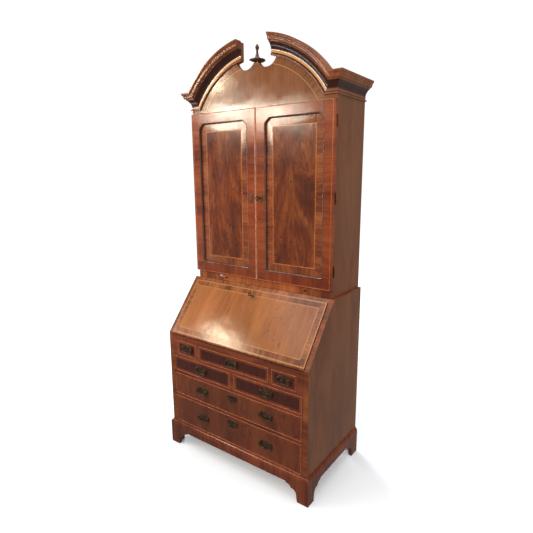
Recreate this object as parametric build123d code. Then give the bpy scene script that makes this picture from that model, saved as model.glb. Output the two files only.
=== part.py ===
"""Slant-front secretary desk with a two-door bookcase and a broken arch pediment.

Units are millimetres. X runs across the desk, Y from front to back, Z up.
Every shape is laid out with Y = 0 on the front face of the lower case, then moved
so that the origin sits on the floor under the middle of the whole desk.
"""
from build123d import *
import math
import os

# ---------------------------------------------------------------- lower case
BASE_W = 1000.0
BASE_D = 582.0
GABLE_T = 28.0
CASE_Z = 130.0
MOULD_TOP = 161.0
PLINTH_OUT = 13.0
PLINTH_T = 22.0
BACK_T = 12.0
APRON_Z = 97.0
BRACKET_RUN = 74.0
FRONT_TOE = 446.0
SIDE_TOE = 46.0
SIDE_HEEL = 514.0
SLOPE_Z = 749.0
TOP_Z = 1056.0
SLOPE_TOP_Y = 251.5
TOP_T = 18.0

# drawer openings: low and high Z of each row
RAIL_T = 14.0
RAIL_D = 60.0
ROW_TOP = (620.0, 708.0)
ROW_SECOND = (507.0, 606.0)
ROW_THIRD = (352.0, 493.0)
ROW_BOTTOM = (161.0, 338.0)
OPEN_HALF = 464.0
FILLER_D = 20.0
SLOT_IN = 446.0
PARTITION_T = 15.0
SPLIT_IN = 255.0
SPLIT_OUT = 273.0
MID_HALF = 13.0
INSIDE_BACK = BASE_D - BACK_T

# drawers
FRONT_T = 20.0
FRONT_GAP = 1.5
BEAD_W = 4.0
BEAD_OUT = 2.0
SIDE_T = 10.0
SIDE_CLEAR = 0.5
BOTTOM_T = 8.0
SIDE_DROP = 12.0
DRAWER_END = 545.0

# support slides beside the top drawers
LOPER_LOW = 672.0
LOPER_TOP = 740.2
LOPER_GAP = 0.6
LOPER_LEN = 400.0

# fall front
FALL_T = 22.0
FALL_HALF = 471.4
FALL_PROUD = 5.5
FALL_LEN = 374.0
FALL_R = FALL_T / 2
BED_T = 17.5
FALL_PIN_R = 3.0
FALL_PIN_IN = 18.0
LOCK_S = 327.0

# upper case
UP_HALF = 483.5
UP_FRONT = 267.0
UP_SIDE_T = 20.0
UP_TOP = 2174.0
WAIST_TOP = 1099.0
WAIST_T = 20.0
BOARD_T = 18.0
SHELF_T = 16.0
SHELF_Z = (1340.0, 1580.0, 1820.0)
HEAD_Z = 2074.0

# candle slides in the waist rail
SLIDE_X = (-246.0, 318.0)
SLIDE_W = 127.0
SLIDE_Z = (1065.5, 1088.5)
SLIDE_GAP = 0.5
SLIDE_LEN = 240.0
TRAY_T = 10.0
KNOB_R = 5.0

# doors
DOOR_BACK = 266.0
DOOR_T = 19.6
DOOR_FRONT = DOOR_BACK - DOOR_T
DOOR_Z = (1101.0, 2052.0)
MEET_GAP = 0.8
STILE_W = 63.0
PANEL_Z = (1162.0, 1992.0)
CANT_X = 32.0
CANT_Z = 28.0
REBATE = 8.0
REBATE_Y = 256.0
PANEL_T = 4.0
PANEL_Y = 260.0
FIELD_RISE = 4.5
FIELD_IN = 42.0
HINGE_Z = (1200.0, 1576.0, 1950.0)
HINGE_X = UP_HALF + 3.5
HINGE_Y = 266.5
KNUCKLE_R = 3.0
KNUCKLE_L = 20.0
PIN_R = 1.5
LEAF_T = 0.45
LEAF_W = 20.0

# pediment
TYMP_Y = 258.0
TYMP_T = 24.0
FRIEZE_Z = 2053.0
ARCH_Z = 1832.0
ARCH_IN = 478.0
CORNICE_H = 100.0
CORNICE_OUT = 47.0
ARCH_END = 100.0
SCOOP_X = 70.0
SCOOP_Z = 2315.0
SCOOP_R = 65.0
NECK_TOP = 2280.0

# handles and keys
PLATE_T = 2.0
POST_X = 33.0
POST_R = 4.5
POST_OUT = 12.5
BAIL_Y = -8.0
WIRE_R = 2.1
EYE_R = 2.2
ARM_X = 42.5
BAIL_DROP = 25.0
KEY_R = 2.6
KEY_HOLE_R = 3.0
KEY_OUT = 50.0

MID_Y = (BASE_D - PLINTH_OUT) / 2
SLOPE_LEN = math.hypot(SLOPE_TOP_Y, TOP_Z - SLOPE_Z)
UP_Y = SLOPE_TOP_Y / SLOPE_LEN
UP_Z = (TOP_Z - SLOPE_Z) / SLOPE_LEN
INNER = BASE_W / 2 - GABLE_T
LONG = 2000.0


def slope(along, out):
    """Y and Z of a point `along` the slope from its foot and `out` from its face."""
    return (along * UP_Y - out * UP_Z, SLOPE_Z + along * UP_Z + out * UP_Y)


HINGE_LINE = slope(8.0, FALL_PROUD - FALL_R)


def block(x0, x1, y0, y1, z0, z1):
    """Return a box between the given limits."""
    centre = Pos((x0 + x1) / 2, (y0 + y1) / 2, (z0 + z1) / 2)
    return centre * Box(x1 - x0, y1 - y0, z1 - z0)


def across(points, x0, x1):
    """Extrude a closed outline given as (Y, Z) points from x0 to x1."""
    face = make_face(Polyline([(x0, y, z) for y, z in points], close=True))
    return extrude(face, x1 - x0, dir=(1, 0, 0))


def rod(p0, p1, radius):
    """Return a round rod between two points."""
    a = Vector(*p0)
    b = Vector(*p1)
    plane = Plane(origin=a, z_dir=(b - a))
    return extrude(plane * Circle(radius), (b - a).length)


def mirrored(shape):
    """Return the left-hand twin of a right-hand shape."""
    return mirror(shape, about=Plane.YZ)


def save(name, *solids):
    """Move the pieces to the shared origin and write them as one node."""
    placed = [piece.moved(Location((0, -MID_Y, 0))) for piece in solids]
    parts = []
    for piece in placed:
        parts.extend(piece.solids())
    shape = parts[0] if len(parts) == 1 else Compound(children=parts)
    shape.label = name
    export_step(shape, f"parts/{name}.step")


# ---------------------------------------------------------------- lower case
def gable():
    """Right-hand side of the lower case, cut back along the writing slope."""
    outline = [
        (0, CASE_Z),
        (0, SLOPE_Z),
        (SLOPE_TOP_Y, TOP_Z),
        (BASE_D, TOP_Z),
        (BASE_D, CASE_Z),
    ]
    board = across(outline, INNER, BASE_W / 2)
    hole = rod((INNER - 1, *HINGE_LINE), (INNER + 4, *HINGE_LINE), FALL_PIN_R + 0.05)
    return board - hole


def base_back():
    """Back board let in between the gables."""
    return block(-INNER, INNER, INSIDE_BACK, BASE_D, CASE_Z, TOP_Z - TOP_T)


def desk_top():
    """Top board with its bevelled front edge, and the strip the fall shuts on."""
    low = TOP_Z - TOP_T
    nose = slope(FALL_LEN + 1.0, 0)
    board = across([nose, (SLOPE_TOP_Y, TOP_Z), (BASE_D, TOP_Z), (BASE_D, low), (nose[0] + 1.2, low)],
                   -INNER, INNER)
    face_out = FALL_PROUD - FALL_T - 0.5
    foot = slope(350.0, face_out)
    run = (low - foot[1]) / UP_Z
    head = (foot[0] + run * UP_Y, low)
    stop = across([foot, head, (head[0] + 16, low), (head[0] + 16, foot[1])], -INNER, INNER)
    return board, stop


def writing_bed():
    """Board behind the fall, bevelled to clear the shut and the open fall."""
    top = HINGE_LINE[1] + FALL_R - 0.5
    low = top - BED_T
    clear = FALL_R + 0.5
    foot_y = HINGE_LINE[0] + clear * UP_Z
    foot_z = HINGE_LINE[1] - clear * UP_Y
    low_y = foot_y + (low - foot_z) / UP_Z * UP_Y
    top_y = foot_y + (top - foot_z) / UP_Z * UP_Y
    return across([(low_y, low), (top_y, top), (INSIDE_BACK, top), (INSIDE_BACK, low)], -INNER, INNER)


def base_bottom():
    """Bottom board under the lowest drawer."""
    return block(-INNER, INNER, 0, INSIDE_BACK, MOULD_TOP - BOARD_T, MOULD_TOP)


def drawer_frame():
    """Front rails, dividers between drawers, partitions and the slides' bearers."""
    pieces = []
    for low in (ROW_BOTTOM[1], ROW_THIRD[1], ROW_SECOND[1]):
        pieces.append(block(-INNER, INNER, 0, RAIL_D, low, low + RAIL_T))
    part_in = SLOT_IN - PARTITION_T
    pieces.append(block(-part_in, part_in, 0, RAIL_D / 2, ROW_TOP[1], LOPER_TOP))
    pieces.append(block(-MID_HALF, MID_HALF, 0, INSIDE_BACK, *ROW_SECOND))
    low_fill = (ROW_BOTTOM, ROW_THIRD, ROW_SECOND)
    for side in (block(part_in, SLOT_IN, 0, INSIDE_BACK, ROW_TOP[0], LOPER_TOP),
                 block(SPLIT_IN, SPLIT_OUT, 0, INSIDE_BACK, *ROW_TOP),
                 block(SLOT_IN, INNER, 0, INSIDE_BACK, ROW_TOP[0], LOPER_LOW),
                 *[block(OPEN_HALF, INNER, 0, FILLER_D, *row) for row in low_fill]):
        pieces.append(side)
        pieces.append(mirrored(side))
    return pieces


def dustboards():
    """Full boards between the drawer rows that the drawers run on."""
    pieces = []
    for low in (ROW_BOTTOM[1], ROW_THIRD[1], ROW_SECOND[1]):
        pieces.append(block(-INNER, INNER, RAIL_D, INSIDE_BACK, low + 2, low + RAIL_T))
    return pieces


def waist_moulding_profile():
    """Thumb moulding section as an (outward, up) face edge list."""
    rise = MOULD_TOP - CASE_Z
    return [
        Line((0, 0), (PLINTH_OUT, 0)),
        Line((PLINTH_OUT, 0), (PLINTH_OUT, 9)),
        ThreePointArc((PLINTH_OUT, 9), (10.2, 18.5), (3, 25)),
        Line((3, 25), (3, rise)),
        Line((3, rise), (0, rise)),
        Line((0, rise), (0, 0)),
    ]


def front_run(edges, face_y, base_z):
    """Extrude a moulding section across the front, outward being towards -Y."""
    plane = Plane(origin=(-LONG / 2, face_y, base_z), x_dir=(0, -1, 0), z_dir=(-1, 0, 0))
    section = plane * make_face(Wire(edges))
    return extrude(section, LONG, dir=(1, 0, 0))


def side_run(edges, face_x, base_z):
    """Extrude a moulding section along the right side, outward being towards +X."""
    plane = Plane(origin=(face_x, -LONG / 2, base_z), x_dir=(1, 0, 0), z_dir=(0, -1, 0))
    section = plane * make_face(Wire(edges))
    return extrude(section, LONG, dir=(0, 1, 0))


def plan(points, z0, z1):
    """Upright prism over a plan outline, used to cut mitres."""
    face = make_face(Polyline([(x, y, z0) for x, y in points], close=True))
    return extrude(face, z1 - z0, dir=(0, 0, 1))


def base_moulding():
    """Mitred moulding round the foot of the lower case."""
    w = BASE_W / 2
    out = PLINTH_OUT
    edges = waist_moulding_profile()
    front_cut = plan([(-w, 0), (w, 0), (w + out, -out), (-w - out, -out)], CASE_Z, MOULD_TOP)
    side_cut = plan([(w, 0), (w, BASE_D), (w + out, BASE_D), (w + out, -out)], CASE_Z, MOULD_TOP)
    front = front_run(edges, 0, CASE_Z) & front_cut
    side = side_run(edges, w, CASE_Z) & side_cut
    return front, side, mirrored(side)


def bracket_edges(toe, sign):
    """Scrolled inner edge of a bracket foot, from the floor up to the apron.

    `toe` is the foot's inner corner on the floor; `sign` points towards the apron.
    """
    def at(step, height):
        return (toe + sign * step, height)
    return [
        Line(at(0, 0), at(5, 34)),
        ThreePointArc(at(5, 34), at(12, 58), at(28, 70)),
        Line(at(28, 70), at(40, 70)),
        ThreePointArc(at(40, 70), at(51, 84), at(70, 88)),
        Line(at(70, 88), at(BRACKET_RUN, APRON_Z)),
    ]


def plinth_front():
    """Front bracket feet and the apron between them, cut from one board."""
    half = BASE_W / 2 + PLINTH_OUT
    toe = FRONT_TOE
    run = BRACKET_RUN
    right = bracket_edges(toe, -1)
    left = bracket_edges(-toe, 1)
    edges = [
        Line((-half, 0), (-toe, 0)),
        *left,
        Line((-toe + run, APRON_Z), (toe - run, APRON_Z)),
        *right,
        Line((toe, 0), (half, 0)),
        Line((half, 0), (half, CASE_Z)),
        Line((half, CASE_Z), (-half, CASE_Z)),
        Line((-half, CASE_Z), (-half, 0)),
    ]
    plane = Plane(origin=(0, -PLINTH_OUT, 0), x_dir=(1, 0, 0), z_dir=(0, -1, 0))
    return extrude(plane * make_face(Wire(edges)), PLINTH_T, dir=(0, 1, 0))


def plinth_side():
    """Right-hand plinth board with its two bracket feet."""
    start = PLINTH_T - PLINTH_OUT
    toe = SIDE_TOE
    heel = SIDE_HEEL
    run = BRACKET_RUN
    edges = [
        Line((start, 0), (toe, 0)),
        *bracket_edges(toe, 1),
        Line((toe + run, APRON_Z), (heel - run, APRON_Z)),
        *bracket_edges(heel, -1),
        Line((heel, 0), (BASE_D, 0)),
        Line((BASE_D, 0), (BASE_D, CASE_Z)),
        Line((BASE_D, CASE_Z), (start, CASE_Z)),
        Line((start, CASE_Z), (start, 0)),
    ]
    plane = Plane(origin=(BASE_W / 2 + PLINTH_OUT, 0, 0), x_dir=(0, 1, 0), z_dir=(1, 0, 0))
    return extrude(plane * make_face(Wire(edges)), PLINTH_T, dir=(-1, 0, 0))


def plinth():
    """Aprons, bracket feet, the back faces of the rear feet and inner corner blocks."""
    inside = BASE_W / 2 + PLINTH_OUT - PLINTH_T
    behind = PLINTH_T - PLINTH_OUT
    front = plinth_front()
    side = plinth_side()
    reach = BRACKET_RUN + 0.5
    front_x = FRONT_TOE - reach
    apron = front & block(-front_x, front_x, -LONG, LONG, 0, CASE_Z)
    right = [
        front & block(front_x, LONG, -LONG, LONG, 0, CASE_Z),
        side & block(0, LONG, -LONG, SIDE_TOE + reach, 0, CASE_Z),
        side & block(0, LONG, SIDE_TOE + reach, SIDE_HEEL - reach, 0, CASE_Z),
        side & block(0, LONG, SIDE_HEEL - reach, LONG, 0, CASE_Z),
        block(inside - 58, inside, BASE_D - 20, BASE_D, 0, CASE_Z),
        block(inside - 34, inside, behind, behind + 34, 4, CASE_Z),
    ]
    return (apron, *right, *[mirrored(piece) for piece in right])


# ---------------------------------------------------------------- drawers
def drawer(x0, x1, row):
    """Drawer with a cock-beaded front and a box of separate boards."""
    z0 = row[0] + FRONT_GAP
    z1 = row[1] - FRONT_GAP
    a = x0 + FRONT_GAP
    b = x1 - FRONT_GAP
    front = block(a, b, 0, FRONT_T, z0, z1)
    bead = block(a, b, -BEAD_OUT, 0, z0, z1)
    bead -= block(a + BEAD_W, b - BEAD_W, -BEAD_OUT - 1, 1, z0 + BEAD_W, z1 - BEAD_W)
    low = row[0] + SIDE_CLEAR
    high = row[1] - SIDE_DROP
    left = block(a + 1, a + 1 + SIDE_T, FRONT_T, DRAWER_END, low, high)
    right = block(b - 1 - SIDE_T, b - 1, FRONT_T, DRAWER_END, low, high)
    inside = (a + 1 + SIDE_T, b - 1 - SIDE_T)
    back = block(*inside, DRAWER_END - SIDE_T, DRAWER_END, low + BOTTOM_T + 3, high)
    floor = block(*inside, FRONT_T, DRAWER_END, low + 3, low + 3 + BOTTOM_T)
    return front + bead, left, right, back, floor


def plate(x, z, width=92.0, height=54.0, keyhole=False):
    """Shaped backplate with two bail posts; the bail's ends turn in the post eyes."""
    w = width / 2
    h = height / 2
    edges = [
        ThreePointArc((0, h), (0.16 * w, 0.82 * h), (0.40 * w, 0.80 * h)),
        ThreePointArc((0.40 * w, 0.80 * h), (0.78 * w, 0.72 * h), (w, 0.30 * h)),
        ThreePointArc((w, 0.30 * h), (0.86 * w, 0), (0.92 * w, -0.34 * h)),
        ThreePointArc((0.92 * w, -0.34 * h), (0.62 * w, -0.52 * h), (0.44 * w, -0.86 * h)),
        ThreePointArc((0.44 * w, -0.86 * h), (0.20 * w, -0.74 * h), (0, -h)),
    ]
    plane = Plane(origin=(x, 0, z), x_dir=(1, 0, 0), z_dir=(0, -1, 0))
    half = extrude(plane * make_face(Wire([*edges, Line((0, -h), (0, h))])), PLATE_T)
    body = half + mirror(half, about=Plane.YZ.offset(x))
    if keyhole:
        body -= rod((x, 1, z + 4), (x, -PLATE_T - 1, z + 4), KEY_HOLE_R)
    return body


def posts(x, z):
    """Pair of eye posts that carry a bail."""
    pieces = []
    for side in (-1, 1):
        post = rod((x + side * POST_X, -PLATE_T, z), (x + side * POST_X, -POST_OUT, z), POST_R)
        eye = rod((x + side * POST_X - 9, BAIL_Y, z), (x + side * POST_X + 9, BAIL_Y, z), EYE_R)
        pieces.append(post - eye)
    return pieces


def bail(x, z):
    """Hanging bail handle: a bent wire whose ends enter the posts from outside."""
    pin = POST_X - POST_R + 0.5
    path = FilletPolyline(
        (x - pin, BAIL_Y, z),
        (x - ARM_X, BAIL_Y, z),
        (x - ARM_X + 4, BAIL_Y, z - BAIL_DROP),
        (x + ARM_X - 4, BAIL_Y, z - BAIL_DROP),
        (x + ARM_X, BAIL_Y, z),
        (x + pin, BAIL_Y, z),
        radius=4.0,
    )
    start = Plane(origin=(x - pin, BAIL_Y, z), z_dir=(-1, 0, 0))
    return sweep(start * Circle(WIRE_R), path=path)


def handle_plates(spots, lock=None):
    """Backplates and posts of one drawer, with its separate lock plate if it has one."""
    pieces = []
    for x, z in spots:
        base = plate(x, z - 8, keyhole=lock is None)
        for post in posts(x, z):
            base = base + post
        pieces.append(base)
    if lock is not None:
        pieces.append(plate(*lock, width=84.0, height=50.0, keyhole=True))
    return pieces


# ---------------------------------------------------------------- fall front
def fall_board():
    """Writing fall: a board between the gables with a half-round hinged edge."""
    low = slope(8.0, FALL_PROUD)
    high = slope(FALL_LEN, FALL_PROUD)
    high_in = slope(FALL_LEN, FALL_PROUD - FALL_T)
    low_in = slope(8.0, FALL_PROUD - FALL_T)
    board = across([low, high, high_in, low_in], -FALL_HALF, FALL_HALF)
    board += rod((-FALL_HALF, *HINGE_LINE), (FALL_HALF, *HINGE_LINE), FALL_R)
    for side in (-1, 1):
        outer = side * (FALL_HALF + 1)
        inner = side * (FALL_HALF - FALL_PIN_IN)
        board -= rod((outer, *HINGE_LINE), (inner, *HINGE_LINE), FALL_PIN_R + 0.06)
    hole_out = slope(LOCK_S, FALL_PROUD + 1)
    hole_in = slope(LOCK_S, FALL_PROUD - 12)
    return board - rod((0, *hole_out), (0, *hole_in), KEY_HOLE_R)


def fall_escutcheon():
    """Small lock plate near the fall's top edge."""
    base = slope(LOCK_S, FALL_PROUD)
    plane = Plane(origin=(0, *base), x_dir=(1, 0, 0), z_dir=(0, -UP_Z, UP_Y))
    body = extrude(plane * Ellipse(11, 17), 1.2)
    return body - extrude(plane * Circle(KEY_HOLE_R), 3)


def key(plane):
    """Key standing in a lock: shank, collar, bow and the hidden end of the shank.

    The plane's Z axis points out of the lock and its X axis lies in the bow.
    """
    shank = extrude(plane.offset(-10) * Circle(KEY_R), 10 + KEY_OUT - 24)
    collar = extrude(plane.offset(KEY_OUT - 28) * Circle(KEY_R + 1.6), 4)
    centre = plane.offset(KEY_OUT - 13).origin
    ring_plane = Plane(origin=centre, x_dir=plane.x_dir, z_dir=plane.y_dir)
    ring = extrude(ring_plane * (Circle(13) - Circle(8.2)), 2, both=True)
    return shank + collar + ring


# ---------------------------------------------------------------- writing interior
COMPARTMENTS = (-467.0, -302.0, -134.0, 134.0, 302.0, 467.0)
NEST_FRONT = 277.0
NEST_LOW = 762.5
NEST_SHELF = (845.0, 853.0)
NEST_TOP = 1037.5
NEST_T = 8.0


def pigeonholes():
    """Open compartments over a shelf, with spaces for two small drawers below."""
    back = INSIDE_BACK - 0.5
    end = INNER - 0.5
    pieces = [block(-end, end, NEST_FRONT, back, *NEST_SHELF)]
    for x in COMPARTMENTS:
        pieces.append(block(x - NEST_T / 2, x + NEST_T / 2, NEST_FRONT, back, NEST_SHELF[1], NEST_TOP))
    for x in (COMPARTMENTS[0], COMPARTMENTS[2], COMPARTMENTS[3], COMPARTMENTS[5]):
        pieces.append(block(x - NEST_T / 2, x + NEST_T / 2, NEST_FRONT, back, NEST_LOW, NEST_SHELF[0]))
    return pieces


def inner_drawer():
    """Right-hand small drawer of the writing interior, with its turned knob."""
    x0 = COMPARTMENTS[3] + NEST_T / 2 + 0.6
    x1 = COMPARTMENTS[5] - NEST_T / 2 - 0.6
    y0 = NEST_FRONT
    y1 = y0 + 240
    z0 = NEST_LOW + 0.5
    z1 = NEST_SHELF[0] - 1
    wall = 6.0
    front = block(x0, x1, y0, y0 + 9, z0, z1)
    x = (x0 + x1) / 2
    z = (z0 + z1) / 2
    front += rod((x, y0, z), (x, y0 - 8, z), 3)
    front += Pos(x, y0 - 11, z) * Sphere(6)
    left = block(x0, x0 + wall, y0 + 9, y1, z0, z1 - 6)
    right = block(x1 - wall, x1, y0 + 9, y1, z0, z1 - 6)
    floor = block(x0 + wall, x1 - wall, y0 + 9, y1, z0 + 1, z0 + 5)
    back = block(x0 + wall, x1 - wall, y1 - wall, y1, z0 + 5, z1 - 6)
    return front, left, right, floor, back


# ---------------------------------------------------------------- upper case
def upper_side():
    """Right side of the bookcase."""
    return block(UP_HALF - UP_SIDE_T, UP_HALF, UP_FRONT, BASE_D, TOP_Z, FRIEZE_Z) + block(
        UP_HALF - UP_SIDE_T, UP_HALF, TYMP_Y + TYMP_T, BASE_D, FRIEZE_Z, UP_TOP)


def upper_boards():
    """Bottom board, shelves and top board between the bookcase sides."""
    half = UP_HALF - UP_SIDE_T
    back = BASE_D - BACK_T
    bottom = block(-half, half, UP_FRONT, back, WAIST_TOP, WAIST_TOP + BOARD_T)
    top = block(-half, half, UP_FRONT, back, FRIEZE_Z - BOARD_T, FRIEZE_Z)
    shelves = [block(-half, half, UP_FRONT + 20, back, z, z + SHELF_T) for z in SHELF_Z]
    return bottom, *shelves, top


def upper_back():
    """Back board of the bookcase."""
    half = UP_HALF - UP_SIDE_T
    return block(-half, half, BASE_D - BACK_T, BASE_D, TOP_Z, UP_TOP)


def waist_rail():
    """Rail under the doors, pierced for two candle slides, with the slides' guides."""
    half = UP_HALF - UP_SIDE_T
    y0 = UP_FRONT
    y1 = UP_FRONT + WAIST_T
    low, high = SLIDE_Z
    gap = SLIDE_W / 2 + SLIDE_GAP
    pieces = [block(-half, half, y0, y1, TOP_Z, low), block(-half, half, y0, y1, high, WAIST_TOP)]
    limits = [-half]
    for x in SLIDE_X:
        limits += [x - gap, x + gap]
    limits.append(half)
    for i in range(0, len(limits), 2):
        pieces.append(block(limits[i], limits[i + 1], y0, y1, low, high))
    for x in SLIDE_X:
        pieces.append(block(x - gap, x + gap, y1, BASE_D - BACK_T, TOP_Z, low + 5))
        for side in (-1, 1):
            edge = sorted((x + side * gap, x + side * (gap + 12)))
            pieces.append(block(*edge, y1, BASE_D - BACK_T, TOP_Z, WAIST_TOP))
    return pieces


def candle_slide(x):
    """Thin tray behind a narrow front, pulled by a small knob."""
    w = SLIDE_W / 2
    low, high = SLIDE_Z
    z = (low + high) / 2
    front = block(x - w, x + w, UP_FRONT, UP_FRONT + 12, low + SLIDE_GAP, high - SLIDE_GAP)
    tray = block(x - w, x + w, UP_FRONT + 12, UP_FRONT + SLIDE_LEN, low + 5.5, low + 5.5 + TRAY_T)
    stem = rod((x, UP_FRONT, z), (x, UP_FRONT - 7, z), 2.2)
    knob = Pos(x, UP_FRONT - 9, z) * Sphere(KNOB_R)
    return front + tray + stem + knob


def cornice_profile():
    """Cornice section as (outward, up) edges: bead, cavetto, fillet, ovolo and cyma."""
    top = CORNICE_H
    out = CORNICE_OUT
    return [
        Line((0, 0), (5, 0)),
        ThreePointArc((5, 0), (9, 4), (5, 8)),
        Line((5, 8), (2, 8)),
        Line((2, 8), (2, 14)),
        ThreePointArc((2, 14), (8.5, 45), (27, 62)),
        Line((27, 62), (27, 66)),
        Line((27, 66), (31, 66)),
        ThreePointArc((31, 66), (35.5, 70), (37, 78)),
        Line((37, 78), (39, 78)),
        ThreePointArc((39, 78), (39.6, 83), (42, 87)),
        ThreePointArc((42, 87), (45, 90), (out, 94)),
        Line((out, 94), (out, top)),
        Line((out, top), (0, top)),
        Line((0, top), (0, 0)),
    ]


def elevation(points, y0, y1):
    """Prism over a front-elevation outline given as (X, Z) points."""
    face = make_face(Polyline([(x, y0, z) for x, z in points], close=True))
    return extrude(face, y1 - y0, dir=(0, 1, 0))


def mitre_points():
    """Inner and outer ends of the mitre between the arch and the level cornice."""
    x_in = math.sqrt(ARCH_IN ** 2 - (HEAD_Z - ARCH_Z) ** 2)
    x_out = math.sqrt((ARCH_IN + CORNICE_H) ** 2 - (UP_TOP - ARCH_Z) ** 2)
    return (x_in, HEAD_Z), (x_out, UP_TOP)


def cornice():
    """Right half of the cornice: arched run, level front return and side run."""
    edges = cornice_profile()
    inner, outer = mitre_points()
    lean = (outer[0] - inner[0]) / CORNICE_H
    high = UP_TOP + 300
    far = (outer[0] + lean * 300, high)
    y0 = TYMP_Y - CORNICE_OUT - 1

    section_plane = Plane(origin=(ARCH_IN, TYMP_Y, ARCH_Z), x_dir=(0, -1, 0), z_dir=(0, 0, 1))
    section = section_plane * make_face(Wire(edges))
    ring = revolve(section, axis=Axis((0, 0, ARCH_Z), (0, 1, 0)), revolution_arc=-90)
    keep = elevation([(ARCH_END, HEAD_Z), inner, far, (ARCH_END, high)], y0, TYMP_Y)
    arch = ring & keep

    w = UP_HALF
    out = CORNICE_OUT
    corner = plan([(0, TYMP_Y), (w, TYMP_Y), (w + out, TYMP_Y - out), (0, TYMP_Y - out)], HEAD_Z, UP_TOP)
    outside = elevation([inner, outer, (w + out, UP_TOP), (w + out, HEAD_Z)], y0, TYMP_Y)
    front = front_run(edges, TYMP_Y, HEAD_Z) & corner & outside

    along = plan([(w, TYMP_Y), (w, BASE_D), (w + out, BASE_D), (w + out, TYMP_Y - out)], HEAD_Z, UP_TOP)
    side = side_run(edges, w, HEAD_Z) & along
    return arch, front, side


def tympanum():
    """Pediment board and frieze in one, scooped either side of the finial's neck."""
    cover = ARCH_IN + CORNICE_H - 6
    shoulder = UP_TOP - 4
    y0 = TYMP_Y
    y1 = TYMP_Y + TYMP_T
    board = block(-UP_HALF, UP_HALF, y0, y1, FRIEZE_Z, shoulder)
    arc = rod((0, y0, ARCH_Z), (0, y1, ARCH_Z), cover)
    board += arc & block(-cover, cover, y0, y1, shoulder - 1, ARCH_Z + cover)
    board -= block(-ARCH_END, ARCH_END, y0 - 1, y1 + 1, NECK_TOP, ARCH_Z + cover + 1)
    inside = rod((0, y0 - 1, ARCH_Z), (0, y1 + 1, ARCH_Z), ARCH_IN)
    for side in (-1, 1):
        centre = side * SCOOP_X
        scoop = rod((centre, y0 - 1, SCOOP_Z), (centre, y1 + 1, SCOOP_Z), SCOOP_R)
        board -= scoop & inside
    return board


def finial():
    """Turned finial: dished disc, slender stem and a pointed bud."""
    y = TYMP_Y + TYMP_T / 2
    edges = [
        Line((0, 0), (12, 0)),
        ThreePointArc((12, 0), (28, 3), (42, 8)),
        ThreePointArc((42, 8), (44, 12), (41, 16)),
        ThreePointArc((41, 16), (18, 21), (9, 38)),
        ThreePointArc((9, 38), (6, 52), (6, 66)),
        ThreePointArc((6, 66), (11, 74), (8, 83)),
        Line((8, 83), (0, 95)),
        Line((0, 95), (0, 0)),
    ]
    plane = Plane(origin=(0, y, NECK_TOP), x_dir=(1, 0, 0), z_dir=(0, -1, 0))
    return revolve(plane * make_face(Wire(edges)), axis=Axis((0, y, 0), (0, 0, 1)), revolution_arc=360)


# ---------------------------------------------------------------- doors
def opening_points(grow=0.0):
    """Right door's panel opening, canted at its two top corners, grown by `grow`."""
    x0 = MEET_GAP + STILE_W - grow
    x1 = UP_HALF - STILE_W + grow
    z0 = PANEL_Z[0] - grow
    z1 = PANEL_Z[1] + grow
    return [(x0, z0), (x1, z0), (x1, z1 - CANT_Z), (x1 - CANT_X, z1), (x0 + CANT_X, z1), (x0, z1 - CANT_Z)]


def door_frame():
    """Right door's two stiles and two rails, rebated behind for the panel."""
    z0, z1 = DOOR_Z
    a = MEET_GAP + STILE_W
    b = UP_HALF - STILE_W
    top = PANEL_Z[1] - CANT_Z
    window = elevation(opening_points(), DOOR_FRONT - 1, DOOR_BACK + 1)
    rebate = elevation(opening_points(REBATE), REBATE_Y, DOOR_BACK + 1)
    hole = rod((LOCK_X, DOOR_FRONT - 1, LOCK_Z), (LOCK_X, DOOR_FRONT + 12, LOCK_Z), KEY_HOLE_R)
    meeting = block(MEET_GAP, a, DOOR_FRONT, DOOR_BACK, z0, z1) - rebate - hole
    hanging = block(b, UP_HALF, DOOR_FRONT, DOOR_BACK, z0, z1) - rebate
    low_rail = block(a, b, DOOR_FRONT, DOOR_BACK, z0, PANEL_Z[0]) - rebate
    top_rail = block(a, b, DOOR_FRONT, DOOR_BACK, top, z1) - window - rebate
    return meeting, hanging, low_rail, top_rail


def door_panel():
    """Right door's fielded panel: a thin board with a bevelled, raised field."""
    clear = REBATE - 1.0
    board = elevation(opening_points(clear), PANEL_Y, PANEL_Y + PANEL_T)
    x0 = MEET_GAP + STILE_W + 1
    x1 = UP_HALF - STILE_W - 1
    z0 = PANEL_Z[0] + 1
    z1 = PANEL_Z[1] - 1
    mid = ((x0 + x1) / 2, (z0 + z1) / 2)
    back = Plane(origin=(mid[0], PANEL_Y, mid[1]), x_dir=(1, 0, 0), z_dir=(0, -1, 0))
    face = back.offset(FIELD_RISE)
    wide = back * Rectangle(x1 - x0, z1 - z0)
    field = face * Rectangle(x1 - x0 - 2 * FIELD_IN, z1 - z0 - 2 * FIELD_IN)
    raised = loft([wide, field]) & elevation(opening_points(-1.0), PANEL_Y - FIELD_RISE, PANEL_Y)
    return board + raised


LOCK_X = 34.0
LOCK_Z = 1570.0


def escutcheon(x):
    """Shaped lock plate on a door's meeting stile."""
    edges = [
        ThreePointArc((0, 30), (3, 25), (5, 20)),
        ThreePointArc((5, 20), (11.5, 12), (7, 3)),
        ThreePointArc((7, 3), (11, -7), (6.5, -16)),
        ThreePointArc((6.5, -16), (4, -24), (0, -29)),
        Line((0, -29), (0, 30)),
    ]
    plane = Plane(origin=(x, DOOR_FRONT, LOCK_Z), x_dir=(1, 0, 0), z_dir=(0, -1, 0))
    half = extrude(plane * make_face(Wire(edges)), 1.5)
    body = half + mirror(half, about=Plane.YZ.offset(x))
    return body - rod((x, DOOR_FRONT + 1, LOCK_Z), (x, DOOR_FRONT - 3, LOCK_Z), KEY_HOLE_R)


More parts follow.
